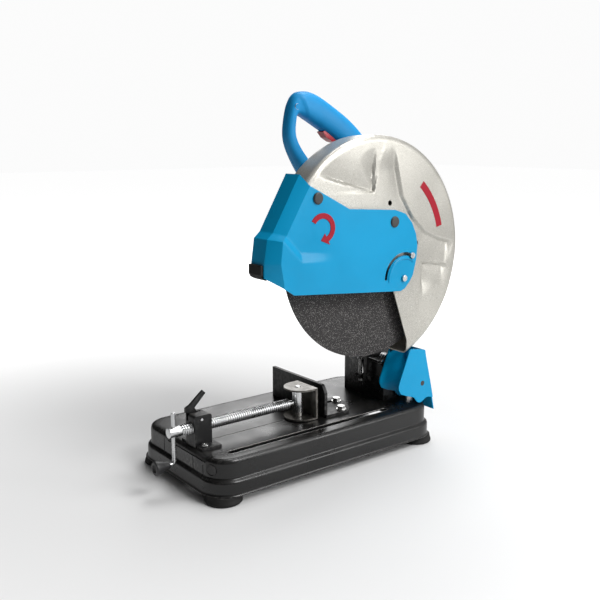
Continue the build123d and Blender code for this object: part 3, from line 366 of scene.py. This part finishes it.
def slab(points, y, depth, rounding=0.0, segments=5, bm=None):
    """A plate lying in the X-Z plane at this y, depth thick towards +Y."""
    bm = bm or bmesh.new()
    start = len(bm.faces)
    outline_face(bm, points, lambda x, z: at(x, y, z), rounding, segments)
    bm.faces.ensure_lookup_table()
    grown = bmesh.ops.extrude_face_region(bm, geom=list(bm.faces)[start:])
    # the first face stays as the near side, the grown one is the far side
    moved = [g for g in grown["geom"] if isinstance(g, bmesh.types.BMVert)]
    bmesh.ops.translate(bm, verts=moved, vec=at(0, depth, 0))
    return bm


def flat_slab(points, z, height, rounding=0.0, segments=5):
    """A plate lying flat at this z, height thick upwards."""
    bm = bmesh.new()
    outline_face(bm, points, lambda x, y: at(x, y, z), rounding, segments)
    grown = bmesh.ops.extrude_face_region(bm, geom=list(bm.faces))
    moved = [g for g in grown["geom"] if isinstance(g, bmesh.types.BMVert)]
    bmesh.ops.translate(bm, verts=moved, vec=at(0, 0, height))
    return bm


def lathe(profile, centre, axis, steps=48, bm=None):
    """Spins (radius, distance along the axis) points round the axis through centre."""
    bm = bm or bmesh.new()
    axis = Vector(axis)
    out = axis.orthogonal().normalized()
    verts = [bm.verts.new(centre + out * r * MM + axis * a * MM) for r, a in profile]
    edges = [bm.edges.new(pair) for pair in zip(verts, verts[1:])]
    bmesh.ops.spin(bm, geom=verts + edges, cent=centre, axis=axis, angle=2 * pi, steps=steps, use_merge=True)
    bmesh.ops.remove_doubles(bm, verts=bm.verts, dist=1e-6)
    return bm


def rounded(profile, radius, steps=3):
    """A lathe profile with the inner corners of its line rounded."""
    points = [Vector(p) for p in profile]
    out = [points[0]]
    for before, here, after in zip(points, points[1:], points[2:]):
        r = min(radius, (before - here).length * 0.45, (after - here).length * 0.45)
        a, b = here + (before - here).normalized() * r, here + (after - here).normalized() * r
        for step in range(steps + 1):
            t = step / steps
            out.append(a * (1 - t) ** 2 + here * 2 * t * (1 - t) + b * t ** 2)
    return [tuple(p) for p in out + [points[-1]]]


def tube(name, points, radius, finish, body, replaced=(), sides=12, cyclic=False):
    """A round bar along these points, in millimetres, as a mesh piece."""
    curve = bpy.data.curves.new(name, "CURVE")
    curve.dimensions, curve.bevel_depth = "3D", radius * MM
    curve.bevel_resolution, curve.use_fill_caps = sides // 4, True
    spline = curve.splines.new("POLY")
    spline.points.add(len(points) - 1)
    for point, where in zip(spline.points, points):
        point.co = (*at(*where), 1)
    spline.use_cyclic_u = cyclic
    holder = bpy.data.objects.new(name + "_path", curve)
    bpy.context.scene.collection.objects.link(holder)
    mesh = bpy.data.meshes.new_from_object(holder.evaluated_get(bpy.context.evaluated_depsgraph_get()))
    bpy.data.objects.remove(holder)
    bm = bmesh.new()
    bm.from_mesh(mesh)
    return piece(name, bm, finish, body, replaced, angle=50)


def softened(node, width=0.5, finish=None, segments=2, angle=30):
    """A copy of a CAD node with its sharp edges rounded, standing for that node."""
    source = frame["nodes"][node]
    bm = bmesh.new()
    bm.from_mesh(source.data)
    bmesh.ops.remove_doubles(bm, verts=bm.verts, dist=2e-6)
    bmesh.ops.dissolve_limit(bm, angle_limit=radians(0.6), verts=bm.verts, edges=bm.edges,
                             use_dissolve_boundaries=False)
    made = piece(node + "_finished", bm, finish or source.data.materials[0], BODY_OF[node], [node], outward=False)
    return bevelled(made, width, segments, angle)


def arc_points(cx, cz, radius, start, end, steps):
    """Points on an arc in the X-Z plane, angles in degrees."""
    return [(cx + radius * cos(radians(start + (end - start) * i / steps)),
             cz + radius * sin(radians(start + (end - start) * i / steps))) for i in range(steps + 1)]


def ease(t):
    """Smooth step from 0 to 1."""
    t = max(0.0, min(1.0, t))
    return t * t * (3 - 2 * t)


# ---------------------------------------------------------------- camera, light and floor
def make_camera():
    """The three-quarter view from the front left, a little above the vise."""
    data = bpy.data.cameras.new("view_camera")
    data.lens, data.sensor_width, data.clip_start, data.clip_end = 48.1155, 36.0, 0.05, 30.0
    camera = bpy.data.objects.new("view_camera", data)
    bpy.context.scene.collection.objects.link(camera)
    camera.location = (-0.7961, -1.0441, 0.5282)
    azimuth, elevation = radians(-37.87), radians(11.34)
    back = Vector((sin(azimuth) * cos(elevation), -cos(azimuth) * cos(elevation), sin(elevation)))
    camera.rotation_euler = back.to_track_quat("Z", "Y").to_euler()
    bpy.context.scene.camera = camera


def area_light(name, where, target, power, width, height, colour=(1, 1, 1)):
    """A soft rectangular light that faces the target."""
    data = bpy.data.lights.new(name, "AREA")
    data.shape, data.size, data.size_y, data.energy, data.color = "RECTANGLE", width, height, power, colour
    light = bpy.data.objects.new(name, data)
    bpy.context.scene.collection.objects.link(light)
    light.location = where
    light.rotation_euler = (Vector(where) - Vector(target)).to_track_quat("Z", "Y").to_euler()


def make_stage():
    """A plain pale floor and soft studio light."""
    bm = bmesh.new()
    bmesh.ops.create_grid(bm, x_segments=1, y_segments=1, size=12)
    mesh = bpy.data.meshes.new("floor")
    bm.to_mesh(mesh)
    bm.free()
    floor = bpy.data.objects.new("floor", mesh)
    bpy.context.scene.collection.objects.link(floor)
    paper = bpy.data.materials.new("pale_floor")
    paper.use_nodes = True
    shader = paper.node_tree.nodes["Principled BSDF"]
    shader.inputs["Base Color"].default_value = (0.72, 0.72, 0.72, 1)
    shader.inputs["Roughness"].default_value = 0.9
    shader.inputs["Specular IOR Level"].default_value = 0.1
    shader.inputs["Emission Color"].default_value = (1, 1, 1, 1)
    sheet = paper.node_tree
    direct = sheet.nodes.new("ShaderNodeLightPath").outputs["Is Camera Ray"]
    reach = sheet.nodes.new("ShaderNodeVectorMath")
    reach.operation = "LENGTH"
    sheet.links.new(sheet.nodes.new("ShaderNodeTexCoord").outputs["Object"], reach.inputs[0])
    # the floor fades to white away from the machine, and is only lit by the lamps under and beside it
    far = math_node(sheet, "MULTIPLY", ramp(sheet, reach.outputs["Value"], 0.32, 1.6), 0.82)
    sheet.links.new(math_node(sheet, "MULTIPLY", direct, far), shader.inputs["Emission Strength"])
    mesh.materials.append(paper)
    world = bpy.data.worlds.new("studio")
    world.use_nodes = True
    tree = world.node_tree
    split = tree.nodes.new("ShaderNodeVectorMath")
    split.operation = "DOT_PRODUCT"
    split.inputs[1].default_value = Vector((0.62, -0.62, 0.48)).normalized()
    tree.links.new(tree.nodes.new("ShaderNodeTexCoord").outputs["Generated"], split.inputs[0])
    soft = math_node(tree, "MULTIPLY_ADD", ramp(tree, split.outputs["Value"], -0.2, 0.95), 0.42)
    soft.node.inputs[2].default_value = 0.03
    seen = tree.nodes.new("ShaderNodeLightPath").outputs["Is Camera Ray"]
    shown = math_node(tree, "MULTIPLY", seen, 0.97)
    unseen = math_node(tree, "MULTIPLY", math_node(tree, "SUBTRACT", 1.0, seen), soft)
    tree.links.new(math_node(tree, "ADD", shown, unseen), tree.nodes["Background"].inputs["Strength"])
    tree.nodes["Background"].inputs["Color"].default_value = (1.0, 1.0, 1.0, 1)
    bpy.context.scene.world = world
    bpy.context.scene.view_settings.view_transform = "Standard"
    middle = (0.0, 0.0, 0.3)
    area_light("key", (0.7, -1.9, 2.3), middle, 50, 1.2, 1.0)
    area_light("top", (0.8, 0.2, 2.5), middle, 36, 1.4, 1.2)
    area_light("sheen", (1.1, -1.55, 0.75), (0.0, -0.1, 0.3), 10, 0.6, 0.7)
    area_light("back", (1.6, 1.9, 1.2), middle, 16, 1.4, 1.2)


make_camera()
make_stage()

# ---------------------------------------------------------------- base
BASE_LONG, BASE_WIDE, BASE_CORNER, BASE_TOP = 449.0, 233.4, 37.6, 69.5
SLOT_NEAR_X, SLOT_FAR_X, SLOT_Y, SLOT_RADIUS = -182.5, 131.5, -88.5, 5.5


def slot_ends(radius):
    """The wheel slot's two half-round ends: the crank end's points and the pivot end's."""
    near = [(SLOT_NEAR_X + radius * sin(a), SLOT_Y + radius * cos(a)) for a in (pi * (1 + i / 8) for i in range(9))]
    far = [(SLOT_FAR_X + radius * sin(a), SLOT_Y + radius * cos(a)) for a in (pi * i / 8 for i in range(9))]
    return near, far


def rounded_loop(bm, grow, z, steps=10):
    """A closed ring of corners round the base, grown outwards by this much, at this height."""
    half_x, half_y, r = BASE_LONG / 2 + grow, BASE_WIDE / 2 + grow, max(2.0, BASE_CORNER + grow)
    verts = []
    for quarter, (sx, sy) in enumerate(((1, 1), (-1, 1), (-1, -1), (1, -1))):
        for i in range(steps + 1):
            a = pi / 2 * (quarter + i / steps)
            verts.append(bm.verts.new(at(sx * (half_x - r) + r * cos(a), sy * (half_y - r) + r * sin(a), z)))
    return verts


def make_base():
    """The pressed steel base: a table with a rolled edge, a wall, a flared shoulder and a bottom lip."""
    section = [(-14, 69.5), (-7, 69.45), (-4.2, 69.0), (-2.0, 67.6), (-0.6, 65.2), (0, 62.0), (0, 41.5), (0.3, 39.8),
               (1.3, 38.6), (3.1, 37.6), (4.6, 36.4), (5.5, 34.8), (5.8, 32.8), (5.8, 20.0), (6.0, 17.6), (6.7, 16.0),
               (7.6, 15.2), (7.8, 14.4), (7.4, 14.0), (6.2, 14.0), (5.2, 14.6), (3.9, 17.0), (3.6, 19.0), (3.6, 33.0),
               (2.9, 34.6), (0.6, 36.0), (-1.7, 38.0), (-2.2, 41.0), (-2.2, 61.8), (-3.2, 65.6), (-6.0, 67.2),
               (-14, 67.3)]
    bm = bmesh.new()
    loops = [rounded_loop(bm, grow, z) for grow, z in section]
    for a, b in zip(loops, loops[1:]):
        for i in range(len(a)):
            bm.faces.new((a[i], a[i - 1], b[i - 1], b[i]))
    for loop in (loops[0], loops[-1]):
        bm.faces.new(loop)
    base = piece("base_pressing", bm, BLACK_ENAMEL, "base", ["base_shell"], angle=40)
    slot_z, deep = BASE_TOP - 6, 12
    near_slot, far_slot = slot_ends(SLOT_RADIUS)
    cutters = [flat_slab(far_slot[::-1] + near_slot[::-1], slot_z, deep)]
    cutters.append(flat_slab([(-176, -26.1), (-10, -26.1), (-10, -23.9), (-176, -23.9)], BASE_TOP - 0.9, 4))
    for y, z, high in ((-46, 50, 22), (-74.6, 44, 22), (43.5, 50, 22)):
        cutters.append(slab([(-230, z - high / 2), (-222.9, z - high / 2), (-222.9, z + high / 2),
                             (-230, z + high / 2)], y - 0.8, 1.6))
    cutters.append(slab([(-230, 60.5), (-222.9, 60.5), (-222.9, 62.6), (-230, 62.6)], -81, 112))
    carve(base, cutters)
    return base


make_base()
# bright strips along the wheel slot and the table groove: partly worn bare paint, partly a painted highlight where the
# edges catch the light
WORN_EDGE_AND_HIGHLIGHT = coating("worn_edge_and_highlight", (0.30, 0.295, 0.285), 0.35, metallic=0.8, tone=0.3, grain=400, bump=0.1)
rim_near, rim_far = slot_ends(5.8)
rim = rim_near + rim_far
tube("wheel_slot_rim", [(x, y, BASE_TOP - 0.25) for x, y in rim], 0.42, WORN_EDGE_AND_HIGHLIGHT, "base", cyclic=True)
tube("table_groove_rim", [(-176, -26.3, BASE_TOP - 0.15), (-10, -26.3, BASE_TOP - 0.15)], 0.32, WORN_EDGE_AND_HIGHLIGHT, "base")
turn = radians(22)
corner = (-(BASE_LONG / 2 - BASE_CORNER), -(BASE_WIDE / 2 - BASE_CORNER))
ring_axis = Vector((-cos(turn), -sin(turn), 0))
ring_at = at(corner[0] - BASE_CORNER * cos(turn), corner[1] - BASE_CORNER * sin(turn), 52)
piece("corner_knockout", lathe(rounded([(9.5, -1.5), (9.5, 0.9), (7.6, 1.0), (7.2, 0.1), (0.0, 0.1)], 0.5), ring_at,
                               ring_axis, 40), BLACK_ENAMEL, "base", outward=True)
for index, (x, y) in enumerate(((-202, -95), (-202, 95), (202, -95), (202, 95))):
    profile = rounded([(4.25, 0.6), (5, 0), (26.6, 0), (28.6, 1.8), (28.6, 4.4), (26.8, 8.5), (26.2, 14.0), (11, 14.0),
                       (11, 20.8), (4.25, 20.8), (4.25, 0.6)], 1.2)
    piece(f"rubber_foot_{index + 1}", lathe(profile, at(x, y, 0), (0, 0, 1), 64), BLACK_RUBBER, "base",
                 ["base_feet"] if index == 0 else [])

# ---------------------------------------------------------------- wheel guard
GUARD = (94.0, 344.5)
GUARD_R, GUARD_NEAR, GUARD_FAR = 190.4, -106.0, -61.0
# stepped grooves pressed into the near face: points, which side is sunk, depth, fade length, taper at each end
PRESSINGS = [
    ([(-38, 477), (84, 445.5)], 1, 6.5, 26, 46, 2),
    ([(84, 445.5), (84.5, 524)], 1, 6.5, 26, 2, 46),
    ([(124, 520), (134, 478), (145, 438), (170, 402), (202, 374), (240, 359), (274, 351)], -1, 5.2, 34, 40, 16),
    ([(198, 322), (272, 312)], -1, 6.0, 32, 2, 24),
    ([(198, 252), (198, 322)], -1, 6.0, 32, 46, 2),
]


def pressing_depth(x, z):
    """How far the near face is sunk at this place, in millimetres."""
    total = 0.0
    for points, sunk_side, deep, fade, taper_in, taper_out in PRESSINGS:
        lengths = [hypot(b[0] - a[0], b[1] - a[1]) for a, b in zip(points, points[1:])]
        whole, run, best = sum(lengths), 0.0, None
        for (a, b), length in zip(zip(points, points[1:]), lengths):
            ux, uz = (b[0] - a[0]) / length, (b[1] - a[1]) / length
            along = max(0.0, min(length, (x - a[0]) * ux + (z - a[1]) * uz))
            px, pz = a[0] + ux * along, a[1] + uz * along
            away = hypot(x - px, z - pz)
            if best is None or away < best[0] - 1e-6:
                side = sunk_side * (ux * (z - a[1]) - uz * (x - a[0]))
                best = (away, side, run + along)
            run += length
        away, side, along = best
        ends = ease(along / taper_in) * ease((whole - along) / taper_out) if taper_in > 5 or taper_out > 5 else 1.0
        wall = exp(-away / fade) * ease(away / 5.0 + 0.5) if side > 0 else ease(0.5 - away / 5.0)
        total = max(total, deep * ends * wall)
    return total


def make_guard():
    """The wheel guard: a pressed cup with grooves in its near face, cut open at the front and below."""
    profile = [(r, GUARD_NEAR) for r in [0, 12] + [20 + 2.0 * i for i in range(81)]]
    for i in range(1, 9):
        a = pi / 2 * i / 8
        profile.append((GUARD_R - 9 + 9 * sin(a), GUARD_NEAR + 9 - 9 * cos(a)))
    profile += [(GUARD_R, y) for y in (-92, -86, -80, -74, -68, -64)]
    profile += [(GUARD_R - 0.9, GUARD_FAR - 0.9), (GUARD_R - 3, GUARD_FAR), (150, GUARD_FAR), (80, GUARD_FAR),
                (14, GUARD_FAR)]
    bm = lathe(profile, at(GUARD[0], 0, GUARD[1]), (0, 1, 0), 360)
    for vert in bm.verts:
        if vert.co.y < (GUARD_NEAR + 4) * MM:
            vert.co.y += pressing_depth(vert.co.x / MM, vert.co.z / MM) * MM
    guard = piece("wheel_guard", bm, SILVER_ENAMEL, "head", ["blade_guard"])
    wall = guard.modifiers.new("sheet", "SOLIDIFY")
    wall.thickness, wall.offset = 2.0 * MM, -1
    near_cut = [(-120, 402), (52, 402), (92, 380), (114, 330), (132, 277), (164.6, 191.2), (165, 100), (-120, 100)]
    deep_cut = [(-120, 345), (-60, 304), (108, 290), (132, 277), (164.6, 191.2), (165, 100), (-120, 100)]
    holes = [lathe([(0, -5), (4.5, -5), (4.5, 8), (0, 8)], at(x, GUARD_NEAR, z), (0, 1, 0), 24)
             for x, z in ((120, 426.8), (183.3, 357.1))]
    carve(guard, [slab(near_cut, GUARD_NEAR - 2, 25), slab(deep_cut, GUARD_NEAR + 22.9, 30)] + holes)
    return guard


make_guard()

# ---------------------------------------------------------------- swinging front cover
SHARED_EDGE = [(-82, 299.4), (140, 280.5), (150, 284), (161, 295), (168, 305), (175, 330), (177, 354), (173, 374),
               (163, 393), (147, 409), (124, 416), (25, 422.6)]
FRONT_EDGE = [(-59.2, 477.3), (-108.5, 393.2), (-119, 384), (-124.5, 348), (-124.5, 327)]
CREASE = [(-50, 460.5), (-92.5, 389.4), (-103, 381), (-106.5, 348), (-100, 311)]
SHOULDER_Y, COVER_FAR = -95.0, -61.5
PANEL_Y, SUNK_Y = -112.6, -108.2
COVER_PIVOT = (146.6, 301.8)


def panel_y(x, z):
    """The side panel's depth: sunk at the upper front, with a slanted ledge down to the full bulge."""
    ledge = 354.5 - (x + 67) * (0.98 if x < -67 else 0.07)
    below = max(0.0, min(1.0, (ledge - z) / 14 + 0.5))
    upper = SUNK_Y + (PANEL_Y - SUNK_Y) * ease((x + 72) / 84)
    return upper + (PANEL_Y - upper) * below


def cut_grid(bm, step, x_range, z_range):
    """Cuts the flat faces into a grid of squares in X and Z."""
    for axis, (low, high) in ((0, x_range), (2, z_range)):
        value = low + step
        while value < high:
            normal, place_ = Vector((0, 0, 0)), Vector((0, 0, 0))
            normal[axis], place_[axis] = 1, value * MM
            bmesh.ops.bisect_plane(bm, geom=bm.verts[:] + bm.edges[:] + bm.faces[:], plane_co=place_,
                                   plane_no=normal, dist=1e-7)
            value += step


def along_front(x, z):
    """Where this crease point lands on the cover's front edge."""
    best = None
    for (a, b), (c, d) in zip(zip(CREASE, CREASE[1:]), zip(FRONT_EDGE, FRONT_EDGE[1:])):
        length = hypot(b[0] - a[0], b[1] - a[1])
        t = max(0.0, min(1.0, ((x - a[0]) * (b[0] - a[0]) + (z - a[1]) * (b[1] - a[1])) / length ** 2))
        away = hypot(x - a[0] - (b[0] - a[0]) * t, z - a[1] - (b[1] - a[1]) * t)
        if best is None or away < best[0]:
            best = (away, c[0] + (d[0] - c[0]) * t, c[1] + (d[1] - c[1]) * t)
    return best


def make_cover():
    """The blue front cover: a side panel, a slanted band and a front wall, folded from one sheet."""
    bm = bmesh.new()
    outline_face(bm, CREASE + SHARED_EDGE, lambda x, z: at(x, PANEL_Y, z))
    cut_grid(bm, 2.5, (-110, 180), (278, 462))
    front = [e for e in bm.edges if e.is_boundary and all(along_front(v.co.x / MM, v.co.z / MM)[0] < 0.05
                                                          for v in e.verts)]
    rest = [e for e in bm.edges if e.is_boundary and e not in front]
    flange = bmesh.ops.extrude_edge_only(bm, edges=rest)
    for vert in (g for g in flange["geom"] if isinstance(g, bmesh.types.BMVert)):
        vert.co.y += 2.4 * MM
    band = bmesh.ops.extrude_edge_only(bm, edges=front)
    band_verts = [g for g in band["geom"] if isinstance(g, bmesh.types.BMVert)]
    band_edges = [g for g in band["geom"] if isinstance(g, bmesh.types.BMEdge)
                  and all(v in set(band_verts) for v in g.verts)]
    for vert in band_verts:
        away, x, z = along_front(vert.co.x / MM, vert.co.z / MM)
        vert.co = at(x, SHOULDER_Y, z)
    wall = bmesh.ops.extrude_edge_only(bm, edges=band_edges)
    wall_verts = set(g for g in wall["geom"] if isinstance(g, bmesh.types.BMVert))
    for vert in wall_verts:
        vert.co.y = COVER_FAR * MM
    for vert in bm.verts:
        if vert not in wall_verts and vert.co.y < (SHOULDER_Y - 6) * MM:
            lip = vert.co.y - PANEL_Y * MM
            vert.co.y = panel_y(vert.co.x / MM, vert.co.z / MM) * MM + lip
    bmesh.ops.remove_doubles(bm, verts=bm.verts, dist=1e-6)
    bmesh.ops.recalc_face_normals(bm, faces=bm.faces)
    # the panel's own faces must look towards the wheel side
    bm.normal_update()
    middle = min(bm.faces, key=lambda f: (f.calc_center_median() - at(40, PANEL_Y, 350)).length)
    if middle.normal.y > 0:
        bmesh.ops.reverse_faces(bm, faces=bm.faces)
    cover = piece("front_cover_pressing", bm, BLUE_ENAMEL, "front_cover", ["swing_cover"], outward=False)
    soften = cover.modifiers.new("folds", "BEVEL")
    soften.width, soften.segments, soften.limit_method, soften.angle_limit = 1.6 * MM, 3, "ANGLE", radians(24)
    sheet = cover.modifiers.new("sheet", "SOLIDIFY")
    sheet.thickness, sheet.offset = 1.6 * MM, -1
    slot = [arc_points(*COVER_PIVOT, r, 61.2, 179.4, 24) for r in (37.7, 43.3)]
    carve(cover, [slab(slot[0] + slot[1][::-1], -116, 10)])
    return cover


make_cover()
for index, (x, z) in enumerate(((-35.5, 441.4), (122.8, 396.8))):
    cap = rounded([(0, -1.4), (7.6, -1.2), (9.2, 0.6), (9.2, 1.6), (6, 1.6), (6, 3.6), (0, 3.6)], 0.7)
    piece(f"cover_plug_{index + 1}", lathe(cap, at(x, panel_y(x, z) - 1.6, z), (0, 1, 0), 40), CAP_MOULDING,
          "front_cover", ["cover_plugs"] if index == 0 else [])
# a raised rib round the pivot, along the inner side of the arc slot
rim = arc_points(*COVER_PIVOT, 33.5, 52, 186, 30)
tube("slot_inner_rib", [(x, panel_y(x, z) + 0.9, z) for x, z in rim], 2.6, BLUE_ENAMEL, "front_cover")

# the plain turning arrow on the cover's side, which shows which way the wheel turns
def make_turning_arrow():
    """A curved red arrow standing a little proud of the panel."""
    cx, cz, r = -27.0, 396.0, 19.0
    outer, inner = arc_points(cx, cz, r + 4.2, 150, -62, 28), arc_points(cx, cz, r - 4.2, 150, -62, 28)
    tip = arc_points(cx, cz, r, -62, -100, 1)[1]
    wide, narrow = arc_points(cx, cz, r + 10, -62, -62, 1)[0], arc_points(cx, cz, r - 10, -62, -62, 1)[0]
    arrow = slab(outer + [wide, tip, narrow] + inner[::-1], 0, 1.2)
    for vert in arrow.verts:
        vert.co.y += (panel_y(vert.co.x / MM, vert.co.z / MM) - 0.9) * MM
    bevelled(piece("turning_arrow", arrow, RED_PAINT, "front_cover"), 0.3)


make_turning_arrow()


def make_guard_stripe():
    """A plain red stripe along the guard's upper rear edge."""
    outer, inner = arc_points(*GUARD, 153, 49, 15, 30), arc_points(*GUARD, 140, 49, 15, 30)
    stripe = slab(outer + inner[::-1], GUARD_NEAR - 0.25, 0.35)
    cut_grid(stripe, 4.0, (190, 270), (375, 480))
    for vert in stripe.verts:
        vert.co.y += pressing_depth(vert.co.x / MM, vert.co.z / MM) * MM
    piece("guard_stripe", stripe, RED_PAINT, "head")


make_guard_stripe()

# ---------------------------------------------------------------- handle
HANDLE_MIDDLE, HANDLE_HALF = -16.0, 17.0
HANDLE_OUTER = [(68, 404), (62, 438), (24, 452), (-7, 487), (-26, 522), (-26, 556), (-15, 591.5), (2, 602),
                (30, 598.5),
                (71, 578), (105, 557), (134, 532), (156, 500), (163, 460), (152, 404)]
HANDLE_INNER = [(13, 499), (-8, 530), (-9, 556), (-3, 566), (34, 547.5), (66, 529), (90, 508), (98, 490), (84, 474),
                (34, 470)]
HANDLE_HEART = (34.0, 516.0)


def resampled(points, count, centre, tension=0.5):
    """The closed outline smoothed and sampled at even angles round the centre."""
    smooth = []
    n = len(points)
    for i in range(n):
        p0, p1, p2, p3 = (Vector(points[(i + k) % n]) for k in (-1, 0, 1, 2))
        for step in range(16):
            t = step / 16
            smooth.append(0.5 * (2 * p1 + (p2 - p0) * t * 2 * tension + (2 * p0 - 5 * p1 + 4 * p2 - p3) * t * t
                                 * (2 * tension) + (3 * p1 - p0 - 3 * p2 + p3) * t ** 3 * (2 * tension)
                                 + (1 - 2 * tension) * (2 * (p2 - p1) * t * t * (3 - 2 * t))))
    angles = [(atan2(p[1] - centre[1], p[0] - centre[0]) % (2 * pi), p) for p in smooth]
    out = []
    for k in range(count):
        want = 2 * pi * k / count
        best = min(angles, key=lambda ap: min(abs(ap[0] - want), 2 * pi - abs(ap[0] - want)))
        out.append(best[1])
    return out


def handle_half_width(x, z):
    """Half the handle's width across: full at the grip, slimmer on the front arm."""
    front = ease((6 - x) / 34) if z < 600 else 0
    return HANDLE_HALF - 5.0 * front


def power(value, exponent):
    """Signed power, for a rounded-rectangle section."""
    return (abs(value) ** exponent) * (1 if value >= 0 else -1)


def make_handle():
    """The D-shaped handle: one closed ring with a rounded section and a seam groove round its middle."""
    count = 144
    outer = resampled(HANDLE_OUTER, count, HANDLE_HEART)
    inner = resampled(HANDLE_INNER, count, HANDLE_HEART)
    turns = [0, 4, 9] + list(range(18, 163, 12)) + [171, 176, 180, 184, 189] + list(range(198, 343, 12)) + [351, 356]
    bm, loops = bmesh.new(), []
    for degrees_ in turns:
        u, v = cos(radians(degrees_)), sin(radians(degrees_))
        verts = []
        for (ox, oz), (ix, iz) in zip(outer, inner):
            boxy = ease((470 - oz) / 40)
            exponent = 2 / (2.5 + 3.5 * boxy)
            groove = 0.8 if degrees_ in (0, 180) else 0.0
            half = hypot(ox - ix, oz - iz) / 2
            reach = power(u, exponent) * (1 - groove / half)
            mx, mz = (ox + ix) / 2, (oz + iz) / 2
            y = HANDLE_MIDDLE + handle_half_width(ox, oz) * power(v, exponent)
            verts.append(bm.verts.new(at(mx + (ox - ix) / 2 * reach, y, mz + (oz - iz) / 2 * reach)))
        loops.append([bm.edges.new(pair) for pair in zip(verts, verts[1:] + verts[:1])])
    for a, b in zip(loops, loops[1:] + loops[:1]):
        bmesh.ops.bridge_loops(bm, edges=a + b)
    for _ in range(3):
        bmesh.ops.smooth_vert(bm, verts=bm.verts, factor=0.12, use_axis_x=True, use_axis_z=True)
    return piece("handle_shell", bm, BLUE_MOULDING, "head", ["handle_near_half", "handle_far_half"], angle=50)


make_handle()
for index, (x, z) in enumerate(((110, 440), (8, 478), (146, 512), (-11, 578))):
    seat = rounded([(0, 2.2), (2.0, 2.0), (3.4, 1.6), (4.4, 0.2), (4.8, 1.2), (4.8, 5.0), (0, 5.0)], 0.3)
    depth = HANDLE_MIDDLE - handle_half_width(x, z) + 1.6
    piece(f"handle_screw_{index + 1}", lathe(seat, at(x, depth - 0.4, z), (0, 1, 0), 28), ZINC, "head",
          ["handle_screws"] if index == 0 else [])

# ---------------------------------------------------------------- spark deflector
PLATE = [(172, 174.5), (208, 168.5), (225, 106), (232.5, 76), (222, 80), (214, 80), (206, 75), (199, 73), (192, 76),
         (184, 86), (165, 92), (151, 98), (146, 108), (147, 116)]
piece("deflector_near_plate", slab(PLATE, -108.2, 2.0, 3.2), BLUE_ENAMEL, "head", ["spark_deflector"])
piece("deflector_far_plate", slab(PLATE, -61.0, 2.0, 3.2), BLUE_ENAMEL, "head")
piece("deflector_fold", slab([(207.0, 168.2), (209, 167.6), (236, 54.2), (233.9, 54.2)], -108.0, 48.8, 0.8),
      BLUE_ENAMEL, "head")
piece("deflector_tab", slab([(168, 160), (171, 205), (186, 206), (196, 165)], -61.0, 2.0, 2.5), BLUE_ENAMEL, "head")
# a flat dark disc on the near plate stands for a hole: the dark inside of the hole is painted shade
hole_shade_disc = [(0, 0), (4.4, 0), (4.7, 0.25), (4.7, 0.8), (0, 0.8)]
piece("deflector_hole_shade", lathe(hole_shade_disc, at(204.3, -108.35, 107.8), (0, 1, 0), 28), CAP_MOULDING, "head")

# ---------------------------------------------------------------- vise
SCREW_Y, SCREW_Z = -29.5, 98.0


def make_vise_screw():
    """The threaded vise screw with its plain neck and crank boss."""
    bm = bmesh.new()
    turns, steps, pitch = 50, 18, 4.0
    start = -235.5
    points = [(7.7, 0.0), (8.95, 1.3), (8.95, 2.2), (7.7, 3.5), (7.7, 4.0)]
    verts = [bm.verts.new(at(start + a, SCREW_Y, SCREW_Z + r)) for r, a in points]
    edges = [bm.edges.new(pair) for pair in zip(verts, verts[1:])]
    bmesh.ops.spin(bm, geom=verts + edges, cent=at(0, SCREW_Y, SCREW_Z), axis=(1, 0, 0), angle=2 * pi * turns,
                   steps=steps * turns, dvec=at(pitch / steps, 0, 0))
    bmesh.ops.remove_doubles(bm, verts=bm.verts, dist=2e-6)
    core = rounded([(0, -256), (7.9, -256), (8, -236.2), (7.4, -235.6), (7.6, -234), (7.6, -32.2), (4.5, -32),
                    (4.5, -23), (0, -23)], 0.8)
    lathe(core, at(0, SCREW_Y, SCREW_Z), (1, 0, 0), 36, bm)
    return piece("vise_screw_thread", bm, BRIGHT_STEEL, "vise_screw", ["vise_screw"], angle=40)


make_vise_screw()
post = rounded([(0, 73.7), (9.0, 73.7), (9.0, 120.8), (0, 120.8)], 0.8)
piece("vise_post", lathe(post, at(-12, SCREW_Y, 0), (0, 0, 1), 48), BRIGHT_STEEL, "vise_carriage",
      ["swivel_block"])
pin_head = rounded([(0, 70.9), (4.9, 70.9), (4.9, 124.2), (4.0, 125.1), (0, 125.2)], 0.8)
piece("vise_post_pin", lathe(pin_head, at(-12, SCREW_Y, 0), (0, 0, 1), 32), ZINC, "vise_carriage", ["jaw_pin"])
grip = rounded([(3.3, 0), (5.2, 0), (5.6, 2), (6.6, 8), (8.9, 15), (10.7, 21.5), (10.9, 24.2), (9.6, 25.4), (6.4, 25.4),
                (5.6, 23.0), (0, 22.6)], 0.9)
piece("crank_grip_moulding", lathe(grip, at(-255.5, SCREW_Y, 48), (-1, 0, 0), 40), BLACK_MOULDING, "crank_grip",
      ["crank_grip"])

for node, width in (("fence", 0.9), ("vise_bracket", 0.7), ("release_lever", 0.6), ("vise_jaw", 0.9),
                    ("pivot_bracket", 0.9), ("fence_bolts", 0.6), ("vise_bolts", 0.5), ("bracket_bolts", 0.6),
                    ("stop_screw", 0.6), ("trigger", 1.6), ("head_casting", 1.6), ("motor_end_cap", 0.6),
                    ("bearing_plate", 0.8), ("cover_bumper", 1.2), ("spindle_nut", 0.7), ("outer_flange", 0.7),
                    ("crank_rod", 0.5), ("cover_pivot_screw", 0.7), ("cover_lock_screw", 0.7), ("cord_inlet", 0.6)):
    softened(node, width)
